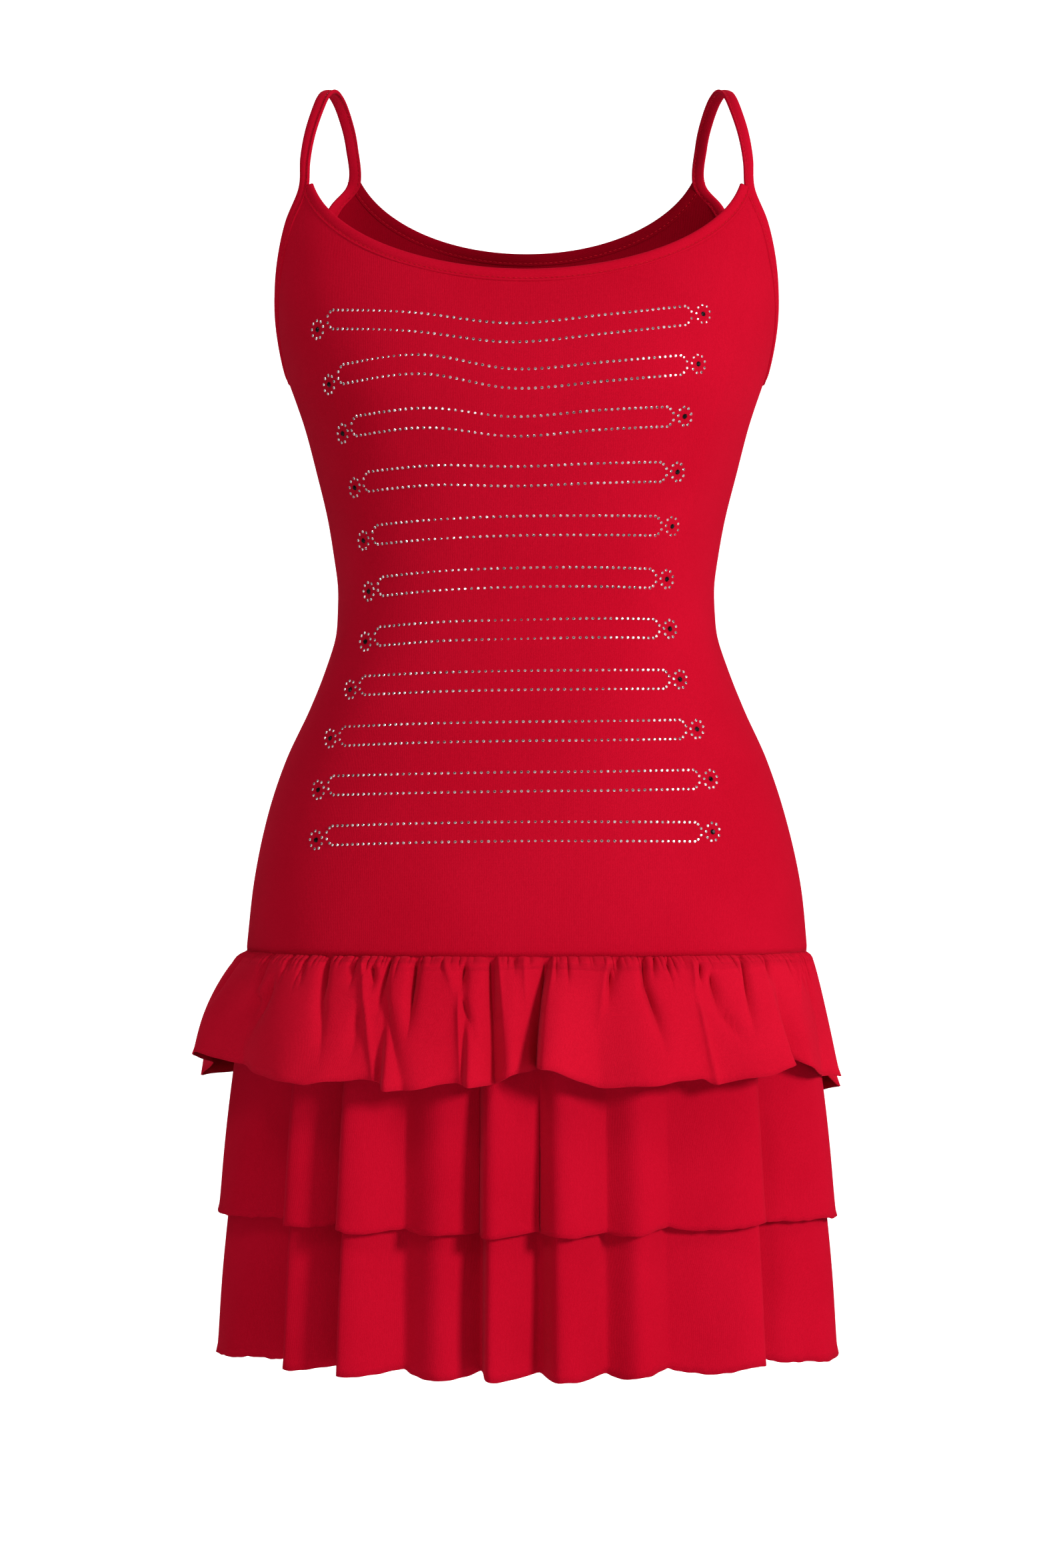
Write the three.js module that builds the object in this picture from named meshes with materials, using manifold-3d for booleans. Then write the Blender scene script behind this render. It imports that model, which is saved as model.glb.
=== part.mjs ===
// Ruffle mini dress: a close-fitting knit camisole body, bound neck and armholes that run on as shoulder
// straps, and a dropped waist seam with three layers hanging from it, a gathered ruffle over two fluted tiers.
// Millimetres, +Z up. The front faces -Y and the wearer's left is +X. The origin is midway between the two
// straps, at the height where they rest on the shoulders. Angles round the body are in degrees: 0 is the
// centre front, 90 the left side seam and 180 the centre back.
import * as THREE from "three";
import { mergeVertices } from "three/addons/utils/BufferGeometryUtils.js";
import Module from "manifold-3d";

const wasm = await Module();
wasm.setup();

// Driving dimensions
const CLOTH = 1.2; // wall of the knit
const GAP = 0.3; // between pieces at a seam
const BINDING_WIDTH = 8; // folded binding and straps
const BINDING_THICK = 2.2; // four layers of knit
const BINDING_BEVEL = 0.9; // rounding of a binding's long edges
const SEAM_Z = -527; // dropped waist seam
const RUFFLE_HEM_Z = -600; // the mean in front
const MIDDLE_HEM_Z = -688;
const LOWER_HEM_Z = -772;
const LAYER_STEP = CLOTH + GAP; // one layer under the next in the seam
const RED = 0xc20f2c;

// Horizontal sections of the body: half width, depth in front of and behind the axis, and squareness, the
// exponent of a superellipse, of which 2 is an ellipse.
const BODY = [
  { z: -40, wide: 155.5, front: 79, back: 89, square: 2.35 },
  { z: -65, wide: 158.5, front: 85, back: 93, square: 2.4 },
  { z: -85, wide: 160.5, front: 91, back: 95.5, square: 2.45 },
  { z: -110, wide: 158.5, front: 98, back: 96, square: 2.5 },
  { z: -135, wide: 155, front: 105, back: 95, square: 2.55 },
  { z: -155, wide: 151.3, front: 110.5, back: 93, square: 2.55 },
  { z: -172, wide: 147.4, front: 114, back: 91, square: 2.5 },
  { z: -190, wide: 141.2, front: 115, back: 88.5, square: 2.5 },
  { z: -208, wide: 135.3, front: 112.5, back: 86, square: 2.45 },
  { z: -232, wide: 129, front: 106, back: 83, square: 2.4 },
  { z: -265, wide: 121, front: 96.5, back: 80, square: 2.3 },
  { z: -300, wide: 115.7, front: 88.5, back: 79, square: 2.25 },
  { z: -320, wide: 115, front: 86.5, back: 80, square: 2.25 },
  { z: -345, wide: 119.8, front: 88, back: 84, square: 2.25 },
  { z: -378, wide: 132.3, front: 93, back: 92, square: 2.25 },
  { z: -410, wide: 147, front: 99, back: 101, square: 2.25 },
  { z: -445, wide: 158.6, front: 105.5, back: 110, square: 2.3 },
  { z: -485, wide: 167.3, front: 110.5, back: 117, square: 2.3 },
  { z: SEAM_Z, wide: 171.8, front: 112, back: 119, square: 2.3 },
];

// Outer edge of the left armhole: down from the strap on the body, in front and behind.
const ARMHOLE_FRONT = [
  { around: 90, z: -172 },
  { around: 84, z: -155 },
  { around: 78, z: -135 },
  { around: 70, z: -110 },
  { around: 62.5, z: -85 },
  { around: 57.5, z: -64 },
];
const ARMHOLE_BACK = [
  { around: 137.3, z: -48 },
  { around: 132, z: -62 },
  { around: 124.5, z: -92 },
  { around: 114.5, z: -125 },
  { around: 102, z: -155 },
];
// Outer edge of the left strap where it is free of the body, from front to back over the shoulder. The strap's
// width runs from there towards the neck: turn is its angle in plan and lift its rise.
const STRAP = [
  { x: 137, y: -46, z: -48, turn: -30, lift: 0.05 },
  { x: 135, y: -38, z: -32, turn: -22, lift: 0.12 },
  { x: 131.5, y: -27, z: -17, turn: -14, lift: 0.14 },
  { x: 127.8, y: -13, z: -5, turn: -6, lift: 0.14 },
  { x: 124.3, y: 2, z: -1, turn: 2, lift: 0.14 },
  { x: 120.6, y: 18, z: -4, turn: 10, lift: 0.14 },
  { x: 116.4, y: 35, z: -14, turn: 18, lift: 0.12 },
  { x: 113, y: 52, z: -28.5, turn: 26, lift: 0.1 },
];
const STRAP_APEX_Z = BINDING_THICK / 2; // the underside of the strap's top is at the origin's height
const STRAP_STEPS = 48;

// Neck edges: each is the lower half of an ellipse seen from the front, `wide` at the strap.
const NECK_FRONT = { bottom: -118.6, wide: 131, rise: 68, end: 129, steps: 22 };
const NECK_BACK = { bottom: -88.5, wide: 109, rise: 60, end: 106, steps: 18 };

// Columns of a body panel between its side seam and its centre, and its rows from top edge to waist seam.
const NECK_COLUMNS = 6;
const PANEL_ROWS = 13;

// Flutes of the two lower tiers. Each runs from its start to the next row's start, stands out by `out` at the
// hem and is highest at the share `crest` of its width, so that one flank is steeper than the other. Its crest
// leans aside by `tip`. At its start the cloth stands out by `foot`, and the hem hangs lower by `drop`.
const FLUTES = [
  { start: -90, foot: 0, out: 15, crest: 0.3, tip: 0, drop: -6 },
  { start: -49.5, foot: -8, out: 22, crest: 0.2, tip: -4, drop: -1 },
  { start: -35, foot: -9, out: 25, crest: 0.19, tip: -4, drop: 0 },
  { start: -21.3, foot: -5, out: 13, crest: 0.48, tip: 0, drop: 2 },
  { start: -6.5, foot: -8, out: 22, crest: 0.24, tip: -3.5, drop: 3 },
  { start: 1.8, foot: -6, out: 17, crest: 0.28, tip: -2, drop: 3 },
  { start: 13, foot: -4, out: 11, crest: 0.45, tip: 0, drop: 3 },
  { start: 25.5, foot: -2, out: 14, crest: 0.74, tip: 6, drop: 1 },
  { start: 52, foot: -7, out: 18, crest: 0.6, tip: 0, drop: -1 },
  { start: 90, foot: 0, out: 9, crest: 0.45, tip: 0, drop: -2 },
  { start: 108, foot: -3, out: 17, crest: 0.75, tip: 4, drop: -2 },
  { start: 126, foot: -6, out: 11, crest: 0.5, tip: 0, drop: -1 },
  { start: 141, foot: -4, out: 19, crest: 0.78, tip: 4, drop: 0 },
  { start: 155, foot: -7, out: 12, crest: 0.5, tip: 0, drop: 0 },
  { start: 168, foot: -6, out: 19, crest: 0.24, tip: -4, drop: 1 },
  { start: 180, foot: -4, out: 11, crest: 0.45, tip: 0, drop: 1 },
  { start: 196, foot: -7, out: 20, crest: 0.22, tip: -4, drop: 0 },
  { start: 208, foot: -5, out: 11, crest: 0.5, tip: 0, drop: 0 },
  { start: 224, foot: -7, out: 18, crest: 0.24, tip: -4, drop: -2 },
  { start: 240, foot: -4, out: 11, crest: 0.5, tip: 0, drop: -3 },
  { start: 255, foot: -4, out: 15, crest: 0.35, tip: -2, drop: -5 },
];
const FLUTE_STOPS = [0, 0.4, 0.75, 1, 1.25, 1.55, 1.82]; // columns on a flute: 1 is its crest, 2 the next one's start

// How far below the seam the tiers have swung out: `lower` and `middle` are the flutes' valleys on each tier,
// and `grow` is the share of a flute's height reached there.
const DRAPE = [
  { z: SEAM_Z, lower: -2 * LAYER_STEP, middle: -LAYER_STEP, grow: 0 },
  { z: -560, lower: -2.6, middle: 0.2, grow: 0.3 },
  { z: -600, lower: -2, middle: 1.8, grow: 0.62 },
  { z: -645, lower: -0.6, middle: 4.6, grow: 0.78 },
  { z: -688, lower: 1.5, middle: 7.6, grow: 0.88 },
  { z: -730, lower: 4.2, middle: 11, grow: 0.95 },
  { z: LOWER_HEM_Z, lower: 7.2, middle: 14.4, grow: 1 },
];
const HANG_SKEW = 0.7; // power that puts the lowest place of a flute's hem nearer its start
const MIDDLE_SCALLOP = 2.5; // how much lower a flute's hem hangs in its middle than at its start
const LOWER_SCALLOP = 5.5;
const TIER_ROWS = [0, 0.18, 0.42, 0.7, 1]; // rows of both tiers by share of the middle tier's drop
const LOWER_ROWS = [0.5, 1]; // and of the lower tier by share of the rest
const MIDDLE_LOFT = 2.2; // how far the middle tier lies off the flanks of the lower one's flutes
const DEGREE = 3.1; // millimetres along the cloth in one degree

// Waves at the ruffle's hem, in the same terms as the flutes.
const WAVES = [
  { start: -90, foot: 21, out: 14, crest: 0.45, tip: -2 },
  { start: -62, foot: 20, out: 12, crest: 0.5, tip: 0 },
  { start: -25, foot: 18, out: 12, crest: 0.14, tip: -2 },
  { start: -9.4, foot: 18, out: 9, crest: 0.2, tip: -1 },
  { start: -4.4, foot: 16, out: 9, crest: 0.4, tip: 0 },
  { start: 1.2, foot: 11, out: 20, crest: 0.22, tip: -7 },
  { start: 11, foot: 21, out: 8, crest: 0.4, tip: 0 },
  { start: 32.5, foot: 19, out: 16, crest: 0.78, tip: 5 },
  { start: 54.5, foot: 14, out: 8, crest: 0.4, tip: 0 },
  { start: 74, foot: 13.6, out: 8, crest: 0.5, tip: 0 },
  { start: 90, foot: 12, out: 11, crest: 0.5, tip: 0 },
  { start: 107, foot: 13, out: 15, crest: 0.7, tip: 4 },
  { start: 126, foot: 18, out: 11, crest: 0.4, tip: 0 },
  { start: 141, foot: 18, out: 16, crest: 0.75, tip: 5 },
  { start: 158, foot: 19, out: 12, crest: 0.4, tip: 0 },
  { start: 171, foot: 20, out: 14, crest: 0.22, tip: -4 },
  { start: 184, foot: 18, out: 12, crest: 0.5, tip: 0 },
  { start: 197, foot: 20, out: 13, crest: 0.2, tip: -4 },
  { start: 212, foot: 19, out: 15, crest: 0.4, tip: 0 },
  { start: 230, foot: 19, out: 13, crest: 0.24, tip: -4 },
  { start: 247, foot: 20, out: 13, crest: 0.5, tip: 0 },
];
// How far the ruffle's hem hangs below its mean at an angle.
const RUFFLE_HEM = [
  { around: -90, drop: -4 },
  { around: -76, drop: -13 },
  { around: -62, drop: -7 },
  { around: -50, drop: 0 },
  { around: -40, drop: 2.5 },
  { around: -29, drop: -1 },
  { around: -25.5, drop: 0 },
  { around: -23, drop: 6.5 },
  { around: -17, drop: 4 },
  { around: -10, drop: 0.5 },
  { around: -8.6, drop: 3.5 },
  { around: -4.5, drop: 2 },
  { around: -1.5, drop: -5 },
  { around: 0.6, drop: -5 },
  { around: 1.6, drop: -7.5 },
  { around: 5, drop: -8 },
  { around: 8, drop: -1 },
  { around: 11, drop: 4 },
  { around: 23, drop: 1.5 },
  { around: 31.5, drop: -1.5 },
  { around: 33.5, drop: 3 },
  { around: 45, drop: -3 },
  { around: 53, drop: -10 },
  { around: 57, drop: -11 },
  { around: 64, drop: -2 },
  { around: 74, drop: 2 },
  { around: 90, drop: 3 },
  { around: 115, drop: 8 },
  { around: 135, drop: 13 },
  { around: 150, drop: 8 },
  { around: 165, drop: 12 },
  { around: 180, drop: 15 },
  { around: 196, drop: 8 },
  { around: 214, drop: 13 },
  { around: 232, drop: 6 },
  { around: 250, drop: 5 },
  { around: 262, drop: 6 },
];
const RUFFLE_PUFF = 0.62; // power that makes the ruffle swell out just under the seam
// Rows of the ruffle by share of its drop, with the height of the gathers there and the share of the waves.
const RUFFLE_ROWS = [
  { share: 0, gather: 0.7, wave: 0 },
  { share: 0.1, gather: 2.6, wave: 0.12 },
  { share: 0.28, gather: 2, wave: 0.36 },
  { share: 0.6, gather: 0.8, wave: 0.72 },
  { share: 1, gather: 0, wave: 1 },
];
const GATHERS = 100; // all round the seam, two columns each

const rad = THREE.MathUtils.degToRad;
const lerp = THREE.MathUtils.lerp;
const signedPower = (value, power) => Math.sign(value) * Math.abs(value) ** power;
const ease = (t) => t * t * (3 - 2 * t);

/** A smooth function of z through one column of a table whose z falls from row to row. */
function column(table, key) {
  const slope = (i) => {
    const a = table[Math.max(i - 1, 0)];
    const b = table[Math.min(i + 1, table.length - 1)];
    return (b[key] - a[key]) / (b.z - a.z);
  };
  return (z) => {
    let i = table.findIndex((row, k) => k > 0 && z >= row.z) - 1;
    if (i < 0) i = table.length - 2;
    const span = table[i + 1].z - table[i].z;
    const t = THREE.MathUtils.clamp((z - table[i].z) / span, 0, 1);
    const rise = table[i + 1][key] - table[i][key];
    const bend = t * (1 - t) * ((1 - t) * (slope(i) * span - rise) - t * (slope(i + 1) * span - rise));
    return table[i][key] + rise * t + bend;
  };
}
const bodyWide = column(BODY, "wide");
const bodyFront = column(BODY, "front");
const bodyBack = column(BODY, "back");
const bodySquare = column(BODY, "square");

/** The horizontal section of the body at z; below the waist seam it stays the seam's own. */
function sectionAt(z) {
  const level = Math.max(z, SEAM_Z);
  return { wide: bodyWide(level), front: bodyFront(level), back: bodyBack(level), square: bodySquare(level) };
}

/** The point of the body's cloth, at mid thickness, at an angle and a height, moved out and to the left. */
function bodyPoint(around, z, out = 0, aside = 0) {
  const { wide, front, back, square } = sectionAt(z);
  const sin = Math.sin(rad(around));
  const cos = Math.cos(rad(around));
  const deep = cos > 0 ? front : back;
  const x = signedPower(sin, 2 / square);
  const y = -signedPower(cos, 2 / square);
  const normal = new THREE.Vector2(signedPower(x, square - 1) / wide, signedPower(y, square - 1) / deep);
  normal.normalize();
  return new THREE.Vector3(
    wide * x + out * normal.x - aside * normal.y,
    deep * y + out * normal.y + aside * normal.x,
    z,
  );
}

/** The angle at which the body is `x` from its middle plane at height z, on the front or on the back. */
function angleAt(x, z, behind) {
  const { wide, square } = sectionAt(z);
  const angle = THREE.MathUtils.radToDeg(Math.asin(signedPower(x / wide, square / 2)));
  return behind ? 180 - angle : angle;
}

/** A station on the body moved `distance` to the left of the direction in which an edge runs through it. */
function inset(station, before, after, distance) {
  const perDegree =
    bodyPoint(station.around + 0.5, station.z).distanceTo(bodyPoint(station.around - 0.5, station.z));
  const run = new THREE.Vector2((after.around - before.around) * perDegree, after.z - before.z).normalize();
  return {
    around: station.around - (run.y * distance) / perDegree,
    z: station.z + run.x * distance,
  };
}

/** The same stations with the edge moved `distance` to the left along the body. */
function insetEdge(stations, distance) {
  return stations.map((station, i) =>
    inset(station, stations[Math.max(i - 1, 0)], stations[Math.min(i + 1, stations.length - 1)], distance),
  );
}

const place = ({ around, z }) => bodyPoint(around, z);

/** The two long edges of the left strap and armhole binding as closed curves. */
function strapRails(outer, inner) {
  const ends = [...ARMHOLE_BACK, ARMHOLE_FRONT[0]];
  const onBody = (distance) => [
    ...insetEdge([ARMHOLE_BACK.at(-1), ...ARMHOLE_FRONT], distance).slice(1).map(place),
    ...STRAP.map(({ x, y, z, turn, lift }) => {
      const towardsNeck = new THREE.Vector3(-Math.cos(rad(turn)), Math.sin(rad(turn)), lift).normalize();
      return new THREE.Vector3(x, y, z + STRAP_APEX_Z).addScaledVector(towardsNeck, distance);
    }),
    ...insetEdge(ends, distance).slice(0, -1).map(place),
  ];
  return [outer, inner].map((distance) =>
    new THREE.CatmullRomCurve3(onBody(distance), true).getSpacedPoints(STRAP_STEPS).slice(0, -1),
  );
}

/** The stations of a neck edge from the right strap to the left one, along the body. */
function neckStations({ bottom, wide, rise, end, steps }, behind) {
  return Array.from({ length: steps + 1 }, (_, i) => {
    const side = Math.sin(rad(lerp(-90, 90, i / steps))); // closer together towards the straps
    const x = end * side;
    const z = bottom + rise * (1 - Math.sqrt(1 - (x / wide) ** 2));
    return { around: angleAt(x, z, behind), z };
  });
}

/** The two long edges of a neck binding. The edge runs so that the panel lies on its left. */
function neckRails(neck, behind, outer, inner) {
  const stations = neckStations(neck, behind);
  const run = behind ? stations : stations.reverse();
  return [outer, inner].map((distance) => insetEdge(run, distance).map(place));
}

/** Triangles of a tube whose sections are rings of points of one count, joined end to end or capped. */
function tube(sections, closed) {
  const sides = sections[0].length;
  const index = [];
  const last = closed ? sections.length : sections.length - 1;
  for (let i = 0; i < last; i++) {
    for (let k = 0; k < sides; k++) {
      const a = i * sides + k;
      const b = i * sides + ((k + 1) % sides);
      const c = ((i + 1) % sections.length) * sides + ((k + 1) % sides);
      const d = ((i + 1) % sections.length) * sides + k;
      index.push(a, c, b, a, d, c);
    }
  }
  if (!closed) {
    const end = (sections.length - 1) * sides;
    for (let k = 1; k < sides - 1; k++) index.push(0, k, k + 1, end, end + k + 1, end + k);
  }
  return geometryFrom(sections.flat(), index);
}

function geometryFrom(points, index) {
  return new THREE.BufferGeometry().setFromPoints(points).setIndex(index);
}

/** A flat band between two edges, with its long edges bevelled. */
function band([outer, inner], thick, bevel, closed) {
  const count = outer.length;
  const sections = outer.map((edge, i) => {
    const before = outer[closed ? (i + count - 1) % count : Math.max(i - 1, 0)];
    const after = outer[closed ? (i + 1) % count : Math.min(i + 1, count - 1)];
    const along = after.clone().sub(before).normalize();
    const across = inner[i].clone().sub(edge).normalize();
    const face = along.clone().cross(across).normalize();
    const corner = (from, side, up) =>
      from.clone().addScaledVector(across, side * bevel).addScaledVector(face, (up * thick) / 2);
    return [
      corner(edge, 1, 1),
      corner(inner[i], -1, 1),
      inner[i],
      corner(inner[i], -1, -1),
      corner(edge, 1, -1),
      edge,
    ];
  });
  return tube(sections, closed);
}

/** The outward direction of the cloth at a point of a grid: along a side seam it stays in the seam's plane. */
function outward(grid, r, c) {
  const row = grid[r];
  const down = grid[Math.min(r + 1, grid.length - 1)][c].clone().sub(grid[Math.max(r - 1, 0)][c]);
  const round = row[Math.min(c + 1, row.length - 1)].clone().sub(row[Math.max(c - 1, 0)]);
  const normal = down.cross(round);
  if (c === 0 || c === row.length - 1) normal.y = 0;
  return normal.normalize();
}

/** The wall of cloth on a grid of points at mid thickness, its rows running down and columns to the left. */
function clothWall(grid) {
  const rows = grid.length;
  const columns = grid[0].length;
  const faces = [1, -1].map((side) =>
    grid.map((row, r) =>
      row.map((point, c) => point.clone().addScaledVector(outward(grid, r, c), (side * CLOTH) / 2)),
    ),
  );
  const at = (face, r, c) => (face * rows + r) * columns + c;
  const index = [];
  const quad = (a, b, c, d) => index.push(a, b, c, a, c, d);
  for (let r = 0; r < rows - 1; r++) {
    for (let c = 0; c < columns - 1; c++) {
      quad(at(0, r, c), at(0, r + 1, c), at(0, r + 1, c + 1), at(0, r, c + 1));
      quad(at(1, r, c), at(1, r, c + 1), at(1, r + 1, c + 1), at(1, r + 1, c));
    }
    quad(at(0, r, 0), at(1, r, 0), at(1, r + 1, 0), at(0, r + 1, 0));
    quad(at(0, r, columns - 1), at(0, r + 1, columns - 1), at(1, r + 1, columns - 1), at(1, r, columns - 1));
  }
  for (let c = 0; c < columns - 1; c++) {
    quad(at(0, 0, c), at(0, 0, c + 1), at(1, 0, c + 1), at(1, 0, c));
    quad(at(0, rows - 1, c), at(1, rows - 1, c), at(1, rows - 1, c + 1), at(0, rows - 1, c + 1));
  }
  return geometryFrom(faces.flat(2), index);
}

/** Moves the first and last column of a grid half a gap into the piece, so that it clears its neighbours. */
function clearSideSeams(grid) {
  return grid.map((row) => {
    const nudge = (edge, next) => edge.clone().addScaledVector(next.clone().sub(edge).normalize(), GAP / 2);
    return [nudge(row[0], row[1]), ...row.slice(1, -1), nudge(row.at(-1), row.at(-2))];
  });
}

/** A closed geometry as a solid that can be cut. */
function solidOf(geometry) {
  const merged = mergeVertices(geometry, 1e-4);
  return new wasm.Manifold(
    new wasm.Mesh({
      numProp: 3,
      vertProperties: merged.attributes.position.array,
      triVerts: new Uint32Array(merged.index.array),
    }),
  );
}

/** The largest body of a cut solid, as a geometry. */
function geometryOf(solid) {
  const [largest] = solid.decompose().sort((a, b) => b.volume() - a.volume());
  const { vertProperties, triVerts } = largest.getMesh();
  return new THREE.BufferGeometry()
    .setAttribute("position", new THREE.BufferAttribute(vertProperties, 3))
    .setIndex(new THREE.BufferAttribute(triVerts, 1));
}

const mirrorX = (points) => points.map(({ x, y, z }) => new THREE.Vector3(-x, y, z));

/** The straps on both sides, each as [long edges]: the right one runs the other way round its armhole. */
function bothStraps(outer, inner) {
  const left = strapRails(outer, inner);
  return { left, right: left.map((rail) => mirrorX(rail).reverse()) };
}

const CUTTER_THICK = 9;
const strapCutters = Object.values(bothStraps(-GAP, BINDING_WIDTH + GAP)).map((rails) =>
  solidOf(band(rails, CUTTER_THICK, 0, true)),
);

function neckBinding(neck, behind) {
  let cut = solidOf(band(neckRails(neck, behind, 0, BINDING_WIDTH), BINDING_THICK, BINDING_BEVEL, false));
  for (const cutter of strapCutters) cut = cut.subtract(cutter);
  return geometryOf(cut);
}

/** The left half of a panel's top edge, centre to side seam, before its bindings are cut from the panel. */
function panelTop(neck, armhole, behind) {
  const half = BINDING_WIDTH / 2;
  const stations = neckStations({ ...neck, steps: 2 * NECK_COLUMNS }, behind);
  const run = insetEdge(behind ? stations : stations.reverse(), half);
  const neckHalf = behind ? run.slice(NECK_COLUMNS) : run.slice(0, NECK_COLUMNS + 1).reverse();
  const side = insetEdge(armhole, half);
  return [...neckHalf.slice(0, -1), ...(behind ? side : side.reverse())];
}

/** A body panel as a grid from side seam to side seam. */
function panelGrid(top, behind) {
  const middle = behind ? 180 : 0;
  const mirrored = top.slice(1).map(({ around, z }) => ({ around: 2 * middle - around, z }));
  const edge = behind ? [...top.slice().reverse(), ...mirrored] : [...mirrored.reverse(), ...top];
  const side = [edge[0], edge.at(-1)].map(({ around }) => (around < middle ? middle - 90 : middle + 90));
  const bottomZ = SEAM_Z + GAP;
  return Array.from({ length: PANEL_ROWS }, (_, r) => {
    const share = r / (PANEL_ROWS - 1);
    return edge.map(({ around, z }, c) => {
      const even = lerp(side[0], side[1], c / (edge.length - 1));
      const own = c === 0 || c === edge.length - 1 ? even : around;
      return bodyPoint(lerp(own, even, ease(Math.min(1, share * 1.6))), lerp(z, bottomZ, share));
    });
  });
}

function bodyPanel(neck, armhole, behind) {
  const grid = panelGrid(panelTop(neck, armhole, behind), behind);
  const neckCutter = band(neckRails(neck, behind, -GAP, BINDING_WIDTH + GAP), CUTTER_THICK, 0, false);
  let cut = solidOf(clothWall(clearSideSeams(grid)));
  for (const cutter of [...strapCutters, solidOf(neckCutter)]) cut = cut.subtract(cutter);
  return geometryOf(cut);
}

/** The fold of a table that holds an angle, and how far across the fold the angle lies. */
function foldAt(table, around) {
  const first = table[0].start;
  const angle = first + THREE.MathUtils.euclideanModulo(around - first, 360);
  const i = table.findLastIndex((row) => angle >= row.start - 1e-9);
  const end = i + 1 < table.length ? table[i + 1].start : first + 360;
  const share = Math.max(0, (angle - table[i].start) / (end - table[i].start));
  return { fold: table[i], next: table[(i + 1) % table.length], share };
}

/** The height of a fold, from 0 in its valleys to 1 on its crest. */
function swell({ fold, share }) {
  return share < fold.crest ? ease(share / fold.crest) : ease((1 - share) / (1 - fold.crest));
}

/** A column of a table of folds between one fold's start and the next one's. */
const between = ({ fold, next, share }, key) => lerp(fold[key], next[key], share);

/** The angles of the columns of the tiers, a few on each flute, from the right side seam all round. */
function fluteAngles() {
  const angles = FLUTES.flatMap(({ start, crest }, i) => {
    const next = i + 1 < FLUTES.length ? FLUTES[i + 1].start : FLUTES[0].start + 360;
    return FLUTE_STOPS.map((stop) => {
      const share = stop <= 1 ? stop * crest : crest + (stop - 1) * (1 - crest);
      return lerp(start, next, share);
    });
  });
  return [...angles, FLUTES[0].start + 360];
}

const drapeGrow = column(DRAPE, "grow");

/** How far out and aside the flutes stand at an angle where they have reached a share of their height. */
function fluteAt(around, grow) {
  const found = foldAt(FLUTES, around);
  const height = swell(found);
  return { out: (between(found, "foot") + found.fold.out * height) * grow, aside: found.fold.tip * height * grow };
}

/** How far a flute's hem at an angle is from the mean one, downwards. */
function hang(around, scallop) {
  const found = foldAt(FLUTES, around);
  return between(found, "drop") + scallop * (Math.sin(Math.PI * found.share ** HANG_SKEW) - 0.5);
}

/** A point of a tier, which lies off the flutes of the table by `loft` on their flanks. */
function tierPoint(around, z, swing, loft) {
  const grow = drapeGrow(z);
  const { out, aside } = fluteAt(around, grow);
  const [before, after] = [-0.3, 0.3].map((step) => fluteAt(around + step, grow));
  const along = 0.6 * DEGREE + after.aside - before.aside;
  const rise = after.out - before.out;
  const length = Math.hypot(along, rise);
  const onSeam = Math.abs(around % 180) === 90;
  const lean = onSeam ? 0 : (-loft * rise) / length;
  return bodyPoint(around, z, swing(z) + out + loft * (along / length - 1), aside + lean);
}

/** A fluted tier as a grid all round, from the seam to its hem. */
function tierGrid(valley, rows, loft) {
  const swing = column(DRAPE, valley);
  return rows.map((row) => fluteAngles().map((around) => tierPoint(around, row(around), swing, loft)));
}

/** The rows of the two tiers: each a function from an angle to a height. */
const middleRows = TIER_ROWS.map(
  (share) => (around) => lerp(SEAM_Z, MIDDLE_HEM_Z - hang(around, MIDDLE_SCALLOP), share),
);
const lowerRows = [
  ...middleRows,
  ...LOWER_ROWS.map(
    (share) => (around) =>
      lerp(middleRows.at(-1)(around), LOWER_HEM_Z - hang(around, LOWER_SCALLOP), share),
  ),
];

/** How far the ruffle's hem hangs below its mean at an angle from -90 to 270. */
function ruffleDrop(around) {
  const i = RUFFLE_HEM.findLastIndex((point) => around >= point.around);
  const a = RUFFLE_HEM[i];
  const b = RUFFLE_HEM[i + 1] ?? { around: RUFFLE_HEM[0].around + 360, drop: RUFFLE_HEM[0].drop };
  return lerp(a.drop, b.drop, (around - a.around) / (b.around - a.around));
}

/** The gathered ruffle as a grid all round: every other column is a gather's crest. */
function ruffleGrid() {
  const angles = Array.from({ length: 2 * GATHERS + 1 }, (_, i) => -90 + (i * 180) / GATHERS);
  return RUFFLE_ROWS.map(({ share, gather, wave }) =>
    angles.map((around, i) => {
      const found = foldAt(WAVES, around);
      const height = swell(found);
      const pinch = i % 2 ? gather * (0.75 + 0.35 * Math.sin(i * 1.7)) : 0;
      const z = lerp(SEAM_Z - GAP, RUFFLE_HEM_Z - ruffleDrop(around), share);
      const out = between(found, "foot") * share ** RUFFLE_PUFF + found.fold.out * height * wave + pinch;
      return bodyPoint(around, z, out, found.fold.tip * height * wave);
    }),
  );
}

/** The front and back pieces of a layer, parted at the side seams. */
function halves(grid) {
  const seam = grid[0].findIndex((point, i) => i > 2 && Math.abs(point.y) < 1e-3);
  return [
    clothWall(clearSideSeams(grid.map((row) => row.slice(0, seam + 1)))),
    clothWall(clearSideSeams(grid.map((row) => row.slice(seam)))),
  ];
}

const cloth = new THREE.MeshStandardMaterial({ color: RED, roughness: 0.62, metalness: 0 });
const binding = new THREE.MeshStandardMaterial({ color: RED, roughness: 0.55, metalness: 0 });

const dress = new THREE.Group();
function sew(name, geometry, material) {
  const mesh = new THREE.Mesh(geometry, material);
  mesh.name = name;
  dress.add(mesh);
}

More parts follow.
